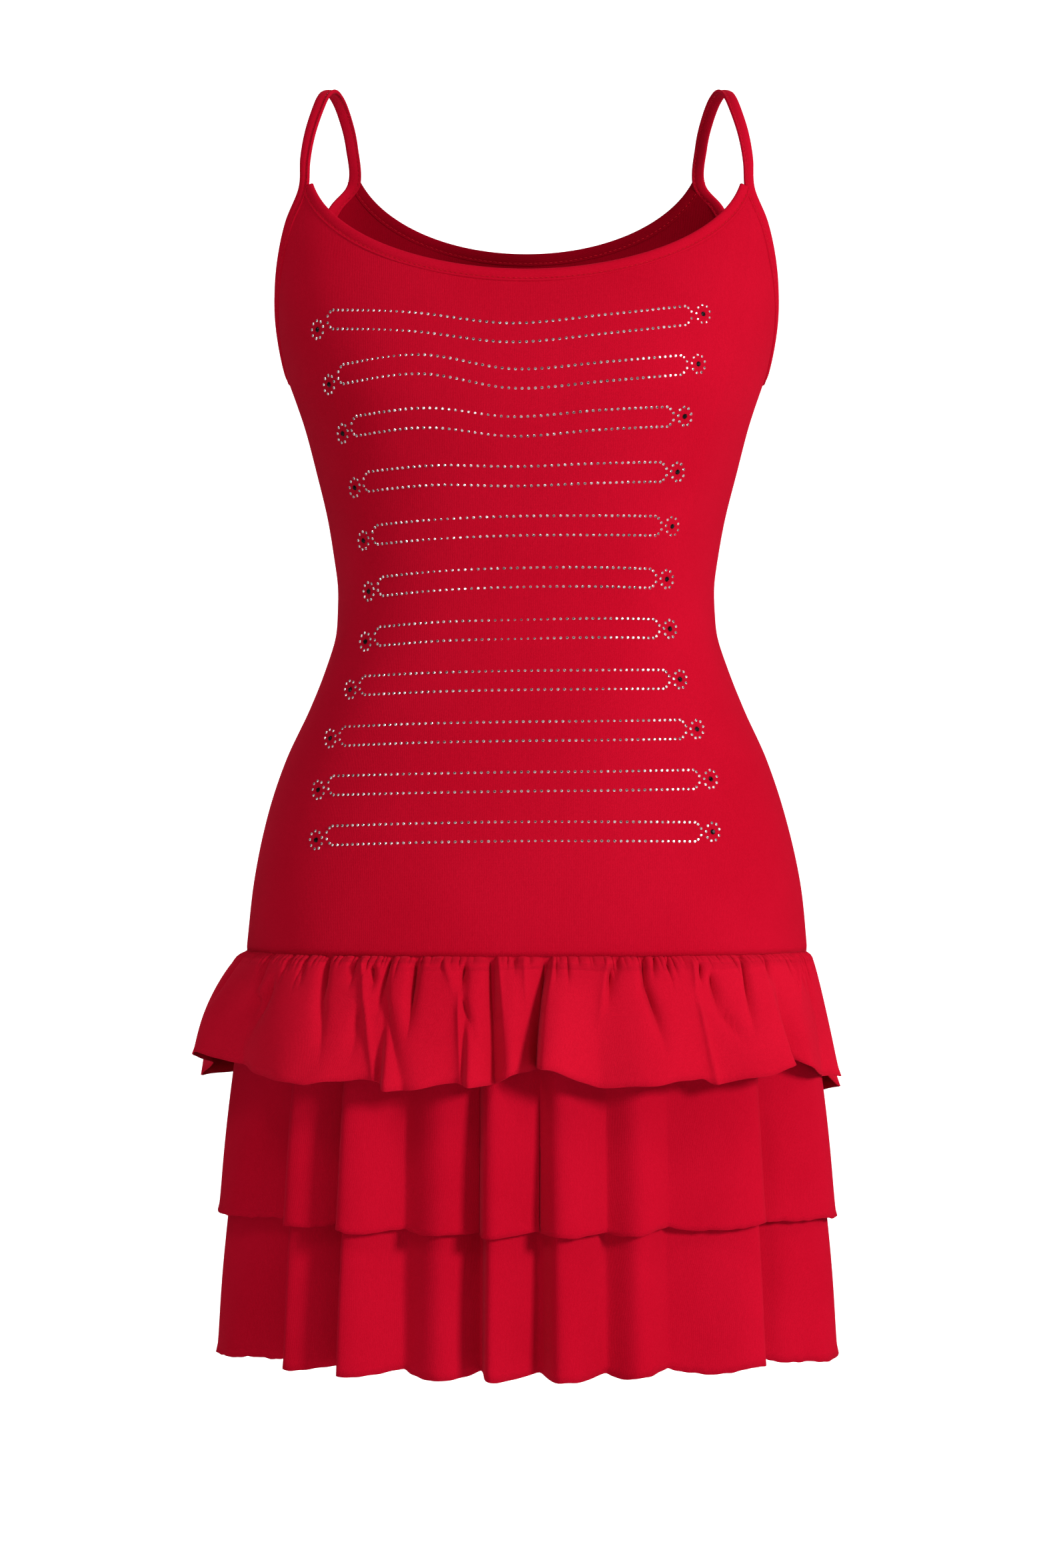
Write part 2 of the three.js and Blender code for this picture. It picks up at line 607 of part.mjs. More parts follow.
sew("front_panel", bodyPanel(NECK_FRONT, ARMHOLE_FRONT, false), cloth);
sew("back_panel", bodyPanel(NECK_BACK, [...ARMHOLE_BACK, ARMHOLE_FRONT[0]], true), cloth);
sew("neck_binding_front", neckBinding(NECK_FRONT, false), binding);
sew("neck_binding_back", neckBinding(NECK_BACK, true), binding);
for (const [side, rails] of Object.entries(bothStraps(0, BINDING_WIDTH))) {
  sew(`strap_${side}`, band(rails, BINDING_THICK, BINDING_BEVEL, true), binding);
}
const layers = {
  ruffle: ruffleGrid(),
  middle_tier: tierGrid("middle", middleRows, MIDDLE_LOFT),
  lower_tier: tierGrid("lower", lowerRows, 0),
};
for (const [name, grid] of Object.entries(layers)) {
  const [front, back] = halves(grid);
  sew(`${name}_front`, front, cloth);
  sew(`${name}_back`, back, cloth);
}

export default dress;
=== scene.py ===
"""A close-fitting red knit mini dress: bound neck and straps, rows of stones, and a ruffle over two tiers.

Sizes are in millimetres until a mesh is made. Angles round the body are in degrees: 0 is the centre front,
90 the wearer's left side seam and 180 the centre back.
"""

import logging
import math
from dataclasses import dataclass
from enum import Enum
from typing import Any, Callable, Sequence

import bpy
import numpy as np
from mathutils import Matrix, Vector


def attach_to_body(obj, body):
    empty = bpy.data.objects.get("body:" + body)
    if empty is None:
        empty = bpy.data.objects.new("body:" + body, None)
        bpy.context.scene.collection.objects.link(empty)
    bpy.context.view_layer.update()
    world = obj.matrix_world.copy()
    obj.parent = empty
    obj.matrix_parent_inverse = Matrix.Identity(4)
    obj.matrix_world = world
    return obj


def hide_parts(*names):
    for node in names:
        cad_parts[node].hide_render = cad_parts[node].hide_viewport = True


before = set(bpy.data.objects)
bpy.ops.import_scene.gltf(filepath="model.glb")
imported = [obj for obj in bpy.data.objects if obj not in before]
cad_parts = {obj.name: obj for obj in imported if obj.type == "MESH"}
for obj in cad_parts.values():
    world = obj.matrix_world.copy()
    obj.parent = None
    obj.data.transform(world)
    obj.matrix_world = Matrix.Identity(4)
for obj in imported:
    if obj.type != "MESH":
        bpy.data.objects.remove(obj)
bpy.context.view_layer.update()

log = logging.getLogger("dress")
MM = 0.001
SEAM_Z = -527.0  # height of the dropped waist seam
SEED = 11
CLOTH_MAP = "cloth"


# Shader nodes
# ------------


class Wire:
    """A value in a node tree, on which Python's operators add Math nodes."""

    def __init__(self, graph: "Graph", socket: Any) -> None:
        """Keeps the tree and the output socket that the value comes from."""
        self.graph = graph
        self.socket = socket

    def _math(self, operation: str, *values: Any) -> "Wire":
        """Adds one Math node."""
        return self.graph.node("ShaderNodeMath", {"operation": operation}, dict(enumerate(values)))

    def __add__(self, other: Any) -> "Wire":
        """The sum."""
        return self._math("ADD", self, other)

    __radd__ = __add__

    def __mul__(self, other: Any) -> "Wire":
        """The product."""
        return self._math("MULTIPLY", self, other)

    __rmul__ = __mul__

    def __sub__(self, other: Any) -> "Wire":
        """The difference."""
        return self._math("SUBTRACT", self, other)

    def __rsub__(self, other: Any) -> "Wire":
        """The difference the other way round."""
        return self._math("SUBTRACT", other, self)

    def __truediv__(self, other: Any) -> "Wire":
        """The quotient."""
        return self._math("DIVIDE", self, other)

    def __pow__(self, other: Any) -> "Wire":
        """The power."""
        return self._math("POWER", self, other)

    def sine(self) -> "Wire":
        """The sine, of radians."""
        return self._math("SINE", self)

    def smooth(self, low: float, high: float) -> "Wire":
        """0 below low, 1 above high and a smooth step between them."""
        settings = {"interpolation_type": "SMOOTHSTEP"}
        return self.graph.node("ShaderNodeMapRange", settings, {0: self, 1: low, 2: high, 3: 0.0, 4: 1.0})


class Graph:
    """The node tree of one material."""

    def __init__(self, name: str) -> None:
        """Makes an empty material.

        Args:
            name: the material's name.
        """
        self.material = bpy.data.materials.new(name)
        self.material.use_nodes = True
        self.tree = self.material.node_tree
        self.tree.nodes.clear()

    def node(self, kind: str, settings: dict[str, Any], inputs: dict[Any, Any], output: Any = 0) -> Wire:
        """Adds a node.

        Args:
            kind: Blender's name for the node's type.
            settings: properties of the node, set first.
            inputs: sockets by name or number, each with a constant or a Wire.
            output: the output socket that is wanted.

        Returns:
            The wanted output.
        """
        made = self.tree.nodes.new(kind)
        for key, value in settings.items():
            setattr(made, key, value)
        for key, value in inputs.items():
            if isinstance(value, Wire):
                self.tree.links.new(value.socket, made.inputs[key])
            else:
                made.inputs[key].default_value = value
        return Wire(self, made.outputs[output])

    def cloth_axes(self) -> tuple[Wire, Wire]:
        """The place on the cloth, from its flat cut.

        Returns:
            The distances along and across it, in millimetres.
        """
        place = self.node("ShaderNodeUVMap", {"uv_map": CLOTH_MAP}, {}, "UV")
        split = self.node("ShaderNodeSeparateXYZ", {}, {0: place})
        across = Wire(self, split.socket.node.outputs[1])
        return split * 1000.0, across * 1000.0

    def noise(self, scale: float, detail: float = 2.0) -> Wire:
        """Noise that lies still in the object's own space.

        Args:
            scale: how many spots there are in a metre.
            detail: how many finer layers it has.

        Returns:
            Values from 0 to 1.
        """
        place = self.node("ShaderNodeTexCoord", {}, {}, "Object")
        inputs = {"Vector": place, "Scale": scale, "Detail": detail}
        return self.node("ShaderNodeTexNoise", {}, inputs)

    def mix(self, share: Wire, low: Sequence[float], high: Sequence[float]) -> Wire:
        """A colour between two colours.

        Args:
            share: 0 for the first and 1 for the second.
            low: the first colour.
            high: the second colour.

        Returns:
            The colour.
        """
        settings = {"data_type": "RGBA"}
        inputs = {0: share, 6: (*low, 1.0), 7: (*high, 1.0)}
        return self.node("ShaderNodeMix", settings, inputs, 2)

    def finish(self, shader_inputs: dict[str, Any]) -> bpy.types.Material:
        """Adds the surface shader.

        Args:
            shader_inputs: its sockets by name, each with a constant or a Wire.

        Returns:
            The material.
        """
        surface = self.node("ShaderNodeBsdfPrincipled", {}, shader_inputs)
        out = self.tree.nodes.new("ShaderNodeOutputMaterial")
        self.tree.links.new(surface.socket, out.inputs["Surface"])
        return self.material


@dataclass(frozen=True)
class KnitFinish:
    """Smooth double-knit jersey: fine upright wales, a soft sheen and a little unevenness in the dye."""

    name: str = "red_knit"
    deep: tuple[float, float, float] = (0.31, 0.0012, 0.009)
    bright: tuple[float, float, float] = (0.45, 0.004, 0.02)
    wale: float = 0.64  # from one upright rib of stitches to the next
    course: float = 0.5  # from one row of stitches to the next
    wander: float = 0.9  # how far a rib strays aside
    wander_spots: float = 60.0  # to a metre, as in the next two
    cloud_spots: float = 9.0
    fleck_spots: float = 1500.0
    shares: tuple[float, float, float, float] = (0.3, 0.24, 0.28, 0.11)  # knit, cloud, fleck and base
    roughness: float = 0.5
    relief: float = 0.5
    relief_depth: float = 0.00025
    fuzz: float = 0.13
    fuzz_colour: tuple[float, float, float, float] = (1.0, 0.1, 0.17, 1.0)

    def make(self) -> bpy.types.Material:
        """Builds the material.

        Returns:
            The finish, for a mesh with the cloth map.
        """
        g = Graph(self.name)
        along, across = g.cloth_axes()
        turn = 2.0 * math.pi
        strayed = along + g.noise(self.wander_spots) * self.wander
        wales = (strayed * (turn / self.wale)).sine() * 0.5 + 0.5
        courses = ((across + wales * 0.18) * (turn / self.course)).sine() * 0.5 + 0.5
        knit = wales * 0.72 + courses * 0.28
        cloud = g.noise(self.cloud_spots, 3.0)
        fleck = g.noise(self.fleck_spots).smooth(0.3, 0.7)
        of_knit, of_cloud, of_fleck, base = self.shares
        shade = knit * of_knit + cloud.smooth(0.3, 0.7) * of_cloud + fleck * of_fleck + base
        inputs = {"Strength": self.relief, "Distance": self.relief_depth, "Height": knit}
        bump = g.node("ShaderNodeBump", {}, inputs)
        return g.finish(
            {
                "Base Color": g.mix(shade, self.deep, self.bright),
                "Roughness": cloud * 0.12 + (self.roughness - 0.06),
                "Specular IOR Level": 0.0,
                "Sheen Weight": self.fuzz,
                "Sheen Roughness": 0.38,
                "Sheen Tint": self.fuzz_colour,
                "Normal": bump,
            }
        )


@dataclass(frozen=True)
class ThreadFinish:
    """Polyester sewing thread in the cloth's colour, with its twist."""

    name: str = "red_thread"
    colour: tuple[float, float, float] = (0.5, 0.006, 0.016)
    shadow: float = 0.7  # its darkest colour, as a share of its colour
    grain_spots: float = 2600.0  # to a metre

    def make(self) -> bpy.types.Material:
        """Builds the material.

        Returns:
            The finish.
        """
        g = Graph(self.name)
        grain = g.noise(self.grain_spots)
        bump = g.node("ShaderNodeBump", {}, {"Strength": 0.3, "Distance": 0.0001, "Height": grain})
        low = [self.shadow * part for part in self.colour]
        return g.finish(
            {
                "Base Color": g.mix(grain.smooth(0.35, 0.65), low, self.colour),
                "Roughness": 0.5,
                "Specular IOR Level": 0.04,
                "Normal": bump,
            }
        )


@dataclass(frozen=True)
class StoneFinish:
    """Foil-backed cut glass, which mirrors what is round it in every facet."""

    name: str
    low: tuple[float, float, float]
    high: tuple[float, float, float]
    metallic: float
    coat: float
    spots: float = 420.0  # to a metre
    roughness: float = 0.2

    def make(self) -> bpy.types.Material:
        """Builds the material.

        Returns:
            The finish.
        """
        g = Graph(self.name)
        sparkle = g.noise(self.spots, 1.0).smooth(0.38, 0.62)
        return g.finish(
            {
                "Base Color": g.mix(sparkle, self.low, self.high),
                "Metallic": self.metallic,
                "Roughness": sparkle * 0.1 + self.roughness,
                "Coat Weight": self.coat,
                "Coat Roughness": 0.03,
            }
        )


@dataclass(frozen=True)
class PaperFinish:
    """The plain pale floor and background, lit evenly in an oval behind the dress and not before it."""

    name: str = "pale_paper"
    tone: float = 0.85
    middle: float = -0.42  # height of the oval's centre
    half_wide: float = 1.35
    half_high: float = 2.05
    start: float = 1.6  # how far behind the dress the floor begins to glow
    full: float = 2.6

    def make(self) -> bpy.types.Material:
        """Builds the material.

        Returns:
            The finish.
        """
        g = Graph(self.name)
        place = g.node("ShaderNodeTexCoord", {}, {}, "Object")
        x = g.node("ShaderNodeSeparateXYZ", {}, {0: place})
        y, z = (Wire(g, x.socket.node.outputs[k]) for k in (1, 2))
        away = (x / self.half_wide) ** 2.0 + ((z - self.middle) / self.half_high) ** 2.0
        inside = (1.0 - away.smooth(0.8, 1.6)) * y.smooth(self.start, self.full)
        lit = g.mix(inside, (0.0, 0.0, 0.0), (1.0, 1.0, 1.0))
        pale = (self.tone, self.tone, self.tone, 1.0)
        inputs = {"Base Color": pale, "Roughness": 0.9, "Emission Color": lit, "Emission Strength": 1.0}
        return g.finish(inputs)


# Forms
# -----


@dataclass(frozen=True)
class Level:
    """A horizontal section of the body: half width, depths before and behind the axis, and squareness."""

    z: float
    wide: float
    front: float
    back: float
    square: float


def table_curve(heights: Sequence[float], values: Sequence[float]) -> Callable[[Any], np.ndarray]:
    """A smooth curve through a table whose heights fall from row to row.

    Args:
        heights: the rows' heights.
        values: one value for each row.

    Returns:
        A function of height.
    """
    z = np.array(heights, float)
    v = np.array(values, float)
    before = np.r_[0, np.arange(len(z) - 1)]
    after = np.r_[np.arange(1, len(z)), len(z) - 1]
    slope = (v[after] - v[before]) / (z[after] - z[before])

    def at(height: Any) -> np.ndarray:
        """The curve's value.

        Args:
            height: one height or many.

        Returns:
            The value at each.
        """
        height = np.clip(np.asarray(height, float), z[-1], z[0])
        i = np.clip(np.searchsorted(-z, -height, side="left") - 1, 0, len(z) - 2)
        span = z[i + 1] - z[i]
        t = (height - z[i]) / span
        rise = v[i + 1] - v[i]
        bend = t * (1 - t) * ((1 - t) * (slope[i] * span - rise) - t * (slope[i + 1] * span - rise))
        return v[i] + rise * t + bend

    return at


def signed_power(value: np.ndarray, power: Any) -> np.ndarray:
    """A power that keeps the sign."""
    return np.sign(value) * np.abs(value) ** power


def ease(t: np.ndarray) -> np.ndarray:
    """A smooth step from 0 to 1."""
    t = np.clip(t, 0.0, 1.0)
    return t * t * (3.0 - 2.0 * t)


def unit(vectors: np.ndarray) -> np.ndarray:
    """The same directions with length 1."""
    return vectors / np.maximum(np.linalg.norm(vectors, axis=-1, keepdims=True), 1e-12)


def turns(count: int) -> np.ndarray:
    """Even steps of one turn, in radians."""
    return np.linspace(0, 2 * math.pi, count, endpoint=False)


def bell(values: np.ndarray, centre: float, wide: float) -> np.ndarray:
    """1 at the centre, and less the further a value is from it in terms of wide."""
    return np.exp(-(((values - centre) / wide) ** 2))


def waves(around: np.ndarray, *rows: tuple[float, float, Any]) -> np.ndarray:
    """A sum of sines round the body, each with its height, its number of waves and its phase."""
    return sum(height * np.sin(count * np.radians(around) + phase) for height, count, phase in rows)


def travelled(points: np.ndarray) -> np.ndarray:
    """The distance from a line's first point to each of its points."""
    return np.r_[0, np.cumsum(np.linalg.norm(np.diff(points, axis=0), axis=1))]


def along_rows(steps: np.ndarray) -> np.ndarray:
    """How far along its row each point of a grid lies, from the steps between the points."""
    return np.concatenate([np.zeros((len(steps), 1)), np.cumsum(steps, axis=1)], axis=1)


def follow(points: np.ndarray, lengths: np.ndarray, wanted: np.ndarray) -> np.ndarray:
    """The points at the wanted distances along a line, whose own points lie at lengths."""
    return np.stack([np.interp(wanted, lengths, points[:, k]) for k in range(3)], -1)


def step_round(values: np.ndarray, axis: int) -> np.ndarray:
    """The step from the neighbour before each value to the one after it, round a closed axis."""
    return np.roll(values, -1, axis) - np.roll(values, 1, axis)


@dataclass
class BodyForm:
    """The shape on which the body of the dress lies: a general figure, from sections."""

    levels: tuple[Level, ...] = (
        Level(-40, 155.5, 79, 89, 2.35),
        Level(-65, 158.5, 85, 93, 2.4),
        Level(-85, 160.5, 91, 95.5, 2.45),
        Level(-110, 158.5, 98, 96, 2.5),
        Level(-135, 155, 105, 95, 2.55),
        Level(-155, 151.3, 110.5, 93, 2.55),
        Level(-172, 147.4, 114, 91, 2.5),
        Level(-190, 141.2, 115, 88.5, 2.5),
        Level(-208, 135.3, 112.5, 86, 2.45),
        Level(-232, 129, 106, 83, 2.4),
        Level(-265, 121, 96.5, 80, 2.3),
        Level(-300, 115.7, 88.5, 79, 2.25),
        Level(-320, 115, 86.5, 80, 2.25),
        Level(-345, 119.8, 88, 84, 2.25),
        Level(-378, 132.3, 93, 92, 2.25),
        Level(-410, 147, 99, 101, 2.25),
        Level(-445, 158.6, 105.5, 110, 2.3),
        Level(-485, 167.3, 110.5, 117, 2.3),
        Level(SEAM_Z, 171.8, 112, 119, 2.3),
    )

    def __post_init__(self) -> None:
        """Makes the curves through the sections."""
        heights = [level.z for level in self.levels]
        self._curves = {
            key: table_curve(heights, [getattr(level, key) for level in self.levels])
            for key in ("wide", "front", "back", "square")
        }

    def frame_at(self, around: Any, z: Any) -> tuple[np.ndarray, np.ndarray]:
        """Points on the form and its outward directions in plan.

        Args:
            around: angles in degrees.
            z: heights, which may run below the waist seam.

        Returns:
            Points and directions, each with a last axis of 3.
        """
        around, z = np.broadcast_arrays(np.asarray(around, float), np.asarray(z, float))
        level = np.maximum(z, SEAM_Z)
        wide, square = self._curves["wide"](level), self._curves["square"](level)
        sin, cos = np.sin(np.radians(around)), np.cos(np.radians(around))
        deep = np.where(cos > 0, self._curves["front"](level), self._curves["back"](level))
        x, y = signed_power(sin, 2 / square), -signed_power(cos, 2 / square)
        points = np.stack([wide * x, deep * y, z], -1)
        slopes = (signed_power(x, square - 1) / wide, signed_power(y, square - 1) / deep)
        return points, unit(np.stack([*slopes, np.zeros_like(z)], -1))

    def point(self, around: Any, z: Any, out: Any = 0.0, aside: Any = 0.0) -> np.ndarray:
        """Points over the form.

        Args:
            around: angles in degrees.
            z: heights.
            out: how far the points lie outside the form.
            aside: how far they are moved towards greater angles.

        Returns:
            The points.
        """
        points, outs = self.frame_at(around, z)
        asides = np.stack([-outs[..., 1], outs[..., 0], np.zeros(outs.shape[:-1])], -1)
        return points + outs * np.asarray(out)[..., None] + asides * np.asarray(aside)[..., None]

    def angle_at(self, x: Any, z: Any, behind: bool = False) -> np.ndarray:
        """The angle at which the form is x from its middle plane.

        Args:
            x: distances to the wearer's left.
            z: heights.
            behind: whether the back is meant.

        Returns:
            The angles in degrees.
        """
        z = np.maximum(np.asarray(z, float), SEAM_Z)
        wide, square = self._curves["wide"](z), self._curves["square"](z)
        share = np.clip(np.asarray(x, float) / wide, -1, 1)
        angle = np.degrees(np.arcsin(signed_power(share, square / 2)))
        return 180 - angle if behind else angle

    def inset(self, stations: np.ndarray, distance: float) -> np.ndarray:
        """An edge on the form moved to the left of its run.

        Args:
            stations: rows of angle and height along the edge.
            distance: how far the edge moves along the form.

        Returns:
            The moved rows.
        """
        around, z = stations.T
        scale = np.linalg.norm(self.point(around + 0.5, z) - self.point(around - 0.5, z), axis=-1)
        after, before = np.r_[stations[1:], stations[-1:]], np.r_[stations[:1], stations[:-1]]
        run_a, run_z = (after - before).T
        run = unit(np.stack([run_a * scale, run_z], -1))
        return np.stack([around - run[:, 1] * distance / scale, z + run[:, 0] * distance], -1)


@dataclass(frozen=True)
class NeckEdge:
    """The edge of a neck opening: the lower half of an ellipse, seen from the front."""

    bottom: float
    wide: float
    rise: float
    end: float
    behind: bool

    @property
    def middle(self) -> float:
        """The angle of its middle."""
        return 180.0 if self.behind else 0.0

    def stations(self, form: BodyForm, steps: int) -> np.ndarray:
        """The edge's run, with the panel on its left.

        Args:
            form: the form on which it lies.
            steps: how many steps it is cut into.

        Returns:
            Rows of angle and height.
        """
        side = np.sin(np.radians(np.linspace(-90, 90, steps + 1)))
        x = self.end * side
        z = self.bottom + self.rise * (1 - np.sqrt(1 - (x / self.wide) ** 2))
        rows = np.stack([form.angle_at(x, z, self.behind), z], -1)
        return rows if self.behind else rows[::-1]


FRONT_NECK = NeckEdge(bottom=-118.6, wide=131.0, rise=68.0, end=129.0, behind=False)
BACK_NECK = NeckEdge(bottom=-88.5, wide=109.0, rise=60.0, end=106.0, behind=True)

# rows of angle and height: down the back of the left armhole to the side seam, and up its front
ARMHOLE_BACK = np.array([[137.3, -48], [132, -62], [124.5, -92], [114.5, -125], [102, -155.0]])
ARMHOLE_FRONT = np.array([[90, -172], [84, -155], [78, -135], [70, -110], [62.5, -85], [57.5, -64.0]])


@dataclass(frozen=True)
class StrapStation:
    """The strap's armhole edge where it is free, with the turn and rise of its width towards the neck."""

    x: float
    y: float
    z: float
    turn: float
    lift: float


def smooth_loop(points: np.ndarray, count: int, fine: int = 40) -> np.ndarray:
    """A closed centripetal curve through points, at equal steps.

    Args:
        points: the points, once round.
        count: how many points are wanted.
        fine: how many steps the curve is first cut into between two points.

    Returns:
        The points of the curve, without repeating the first.
    """
    dense = []
    n = len(points)
    t = np.linspace(0, 1, fine, endpoint=False)[:, None]
    for i in range(n):
        p0, p1, p2, p3 = (points[(i + k) % n] for k in (-1, 0, 1, 2))
        t0, t1, t2 = (max(np.linalg.norm(b - a) ** 0.5, 1e-9) for a, b in ((p0, p1), (p1, p2), (p2, p3)))
        m1 = ((p1 - p0) / t0 - (p2 - p0) / (t0 + t1) + (p2 - p1) / t1) * t1
        m2 = ((p2 - p1) / t1 - (p3 - p1) / (t1 + t2) + (p3 - p2) / t2) * t1
        bends = (t**3 - 2 * t**2 + t) * m1 + (t**3 - t**2) * m2
        dense.append((2 * t**3 - 3 * t**2 + 1) * p1 + (3 * t**2 - 2 * t**3) * p2 + bends)
    path = np.concatenate([*dense, dense[0][:1]])
    length = travelled(path)
    return follow(path, length, np.linspace(0, length[-1], count, endpoint=False))


# Meshes
# ------


def make_object(
    name: str,
    points: np.ndarray,
    faces: Sequence[Any],
    material: bpy.types.Material,
    uv: np.ndarray | None = None,
) -> bpy.types.Object:
    """Makes a smooth-shaded mesh object.

    Args:
        name: the object's name.
        points: its vertices in millimetres.
        faces: its faces as rows of vertex numbers.
        material: its finish.
        uv: the cloth map's place of each vertex, in millimetres.

    Returns:
        The object.
    """
    mesh = bpy.data.meshes.new(name)
    mesh.from_pydata((points * MM).tolist(), [], [list(map(int, face)) for face in faces])
    mesh.polygons.foreach_set("use_smooth", np.ones(len(mesh.polygons), bool))
    if uv is not None:
        layer = mesh.uv_layers.new(name=CLOTH_MAP)
        corner = np.empty(len(mesh.loops), int)
        mesh.loops.foreach_get("vertex_index", corner)
        layer.uv.foreach_set("vector", (uv[corner] * MM).ravel().astype(np.float32))
    mesh.materials.append(material)
    mesh.update()
    made = bpy.data.objects.new(name, mesh)
    bpy.context.scene.collection.objects.link(made)
    return made


def grid_faces(rows: int, columns: int, closed: bool, start: int, flip: bool) -> np.ndarray:
    """The quads of a grid of vertices.

    Args:
        rows: rows of vertices.
        columns: vertices in a row.
        closed: whether each row closes on itself.
        start: the number of the first vertex.
        flip: whether the faces look the other way.

    Returns:
        One row of four vertex numbers for each quad.
    """
    across = columns if closed else columns - 1
    r, c = np.meshgrid(np.arange(rows - 1) * columns, np.arange(across), indexing="ij")
    right = (c + 1) % columns
    quads = np.stack([r + c, r + columns + c, r + columns + right, r + right], -1)
    quads = quads.reshape(-1, 4) + start
    return quads[:, ::-1] if flip else quads


def attach(piece: bpy.types.Object, slot: str, *stands_for: str) -> None:
    """Fixes a piece to the dress and reports it.

    Args:
        piece: the piece.
        slot: a material slot's name, not used.
        stands_for: the solids that it is shown in place of.
    """
    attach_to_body(piece, "root")
    if stands_for:
        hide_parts(*stands_for)
    log.info("%s: %d faces", piece.name, len(piece.data.polygons))


def face_finishes(piece: bpy.types.Object, second: bpy.types.Material, own: np.ndarray) -> None:
    """Gives a piece a second finish on the faces where own is 1."""
    piece.data.materials.append(second)
    piece.data.polygons.foreach_set("material_index", own.astype(int))


def cloth_object(
    name: str,
    middle: np.ndarray,
    thick: float,
    closed: bool,
    material: bpy.types.Material,
    uv: np.ndarray,
    inside: bpy.types.Material,
) -> bpy.types.Object:
    """A wall of cloth on a grid of points at mid thickness.

    Args:
        name: the object's name.
        middle: the grid, with rows that run down and columns towards greater angles.
        thick: the thickness of the cloth.
        closed: whether each row closes on itself.
        material: the cloth's finish.
        uv: the grid's places in the flat cut.
        inside: the finish of the cloth's inner face, a darker copy of the knit that is painted shade.

    Returns:
        The object.
    """
    rows, columns = middle.shape[:2]
    down = np.gradient(middle, axis=0)
    aside = step_round(middle, 1) if closed else np.gradient(middle, axis=1)
    outward = unit(np.cross(down, aside))
    points = np.concatenate([(middle + side * outward * thick / 2).reshape(-1, 3) for side in (1, -1)])
    count = rows * columns
    faces = [grid_faces(rows, columns, closed, 0, False), grid_faces(rows, columns, closed, count, True)]
    last = columns if closed else columns - 1
    c = np.arange(last)
    right = (c + 1) % columns
    low = (rows - 1) * columns
    faces.append(np.stack([c, right, right + count, c + count], -1))
    faces.append(np.stack([low + c, low + c + count, low + right + count, low + right], -1))
    if not closed:
        r = np.arange(rows - 1) * columns
        faces.append(np.stack([r, r + count, r + columns + count, r + columns], -1))
        r = r + columns - 1
        faces.append(np.stack([r, r + columns, r + columns + count, r + count], -1))
    flat = np.concatenate([uv.reshape(-1, 2)] * 2)
    made = make_object(name, points, np.concatenate(faces), material, flat)
    # the inner faces take the darker knit, which is painted shade for the inside of the dress
    face_finishes(made, inside, np.repeat(np.arange(len(faces)) == 1, [len(part) for part in faces]))
    return made


@dataclass
class Band:
    """A folded strip of cloth between two long edges, or rails."""

    outer: np.ndarray
    inner: np.ndarray
    closed: bool

    def axes(self) -> tuple[np.ndarray, np.ndarray]:
        """The strip's directions.

        Returns:
            The directions across it and out of its face at each station.
        """
        along = step_round(self.outer, 0) if self.closed else np.gradient(self.outer, axis=0)
        across = unit(self.inner - self.outer)
        return across, unit(np.cross(unit(along), across))

    def line(self, offset: float, lift: float) -> tuple[np.ndarray, np.ndarray]:
        """A line along the strip.

        Args:
            offset: its distance from the outer edge.
            lift: its height over the strip's mid thickness.

        Returns:
            Its points and the directions out of the face there.
        """
        across, face = self.axes()
        return self.outer + across * offset + face * lift, face

    def build(
        self,
        name: str,
        profile: Sequence[tuple[float, float]],
        material: bpy.types.Material,
        inside: bpy.types.Material | None = None,
    ) -> bpy.types.Object:
        """Sweeps a section along the strip.

        Args:
            name: the object's name.
            profile: the section's corners as offset and lift, clockwise seen along the run.
            material: the strip's finish.
            inside: the finish of its inner face, where it is another one: the darker knit, painted shade.

        Returns:
            The object.
        """
        rings = np.stack([self.line(offset, lift)[0] for offset, lift in profile], 1)
        count, sides = rings.shape[:2]
        width = np.array([offset for offset, _ in profile])
        uv = np.stack(np.broadcast_arrays(width[None, :], travelled(self.outer)[:, None]), -1)
        last = count if self.closed else count - 1
        i, k = np.meshgrid(np.arange(last), np.arange(sides), indexing="ij")
        here, ahead, beside = i * sides, (i + 1) % count * sides, (k + 1) % sides
        quads = np.stack([here + k, ahead + k, ahead + beside, here + beside], -1)
        faces = quads.reshape(-1, 4).tolist()
        if not self.closed:
            faces.append(list(range(sides)))
            faces.append(list(range((count - 1) * sides, count * sides))[::-1])
        made = make_object(name, rings.reshape(-1, 3), faces, material, uv.reshape(-1, 2))
        # the faces under the strip take the darker knit, painted shade
        if inside:
            low = np.array([lift < 0 for _, lift in profile])
            own = np.zeros(len(faces), int)
            own[: last * sides] = np.tile(low & np.roll(low, -1), last)
            face_finishes(made, inside, own)
        return made


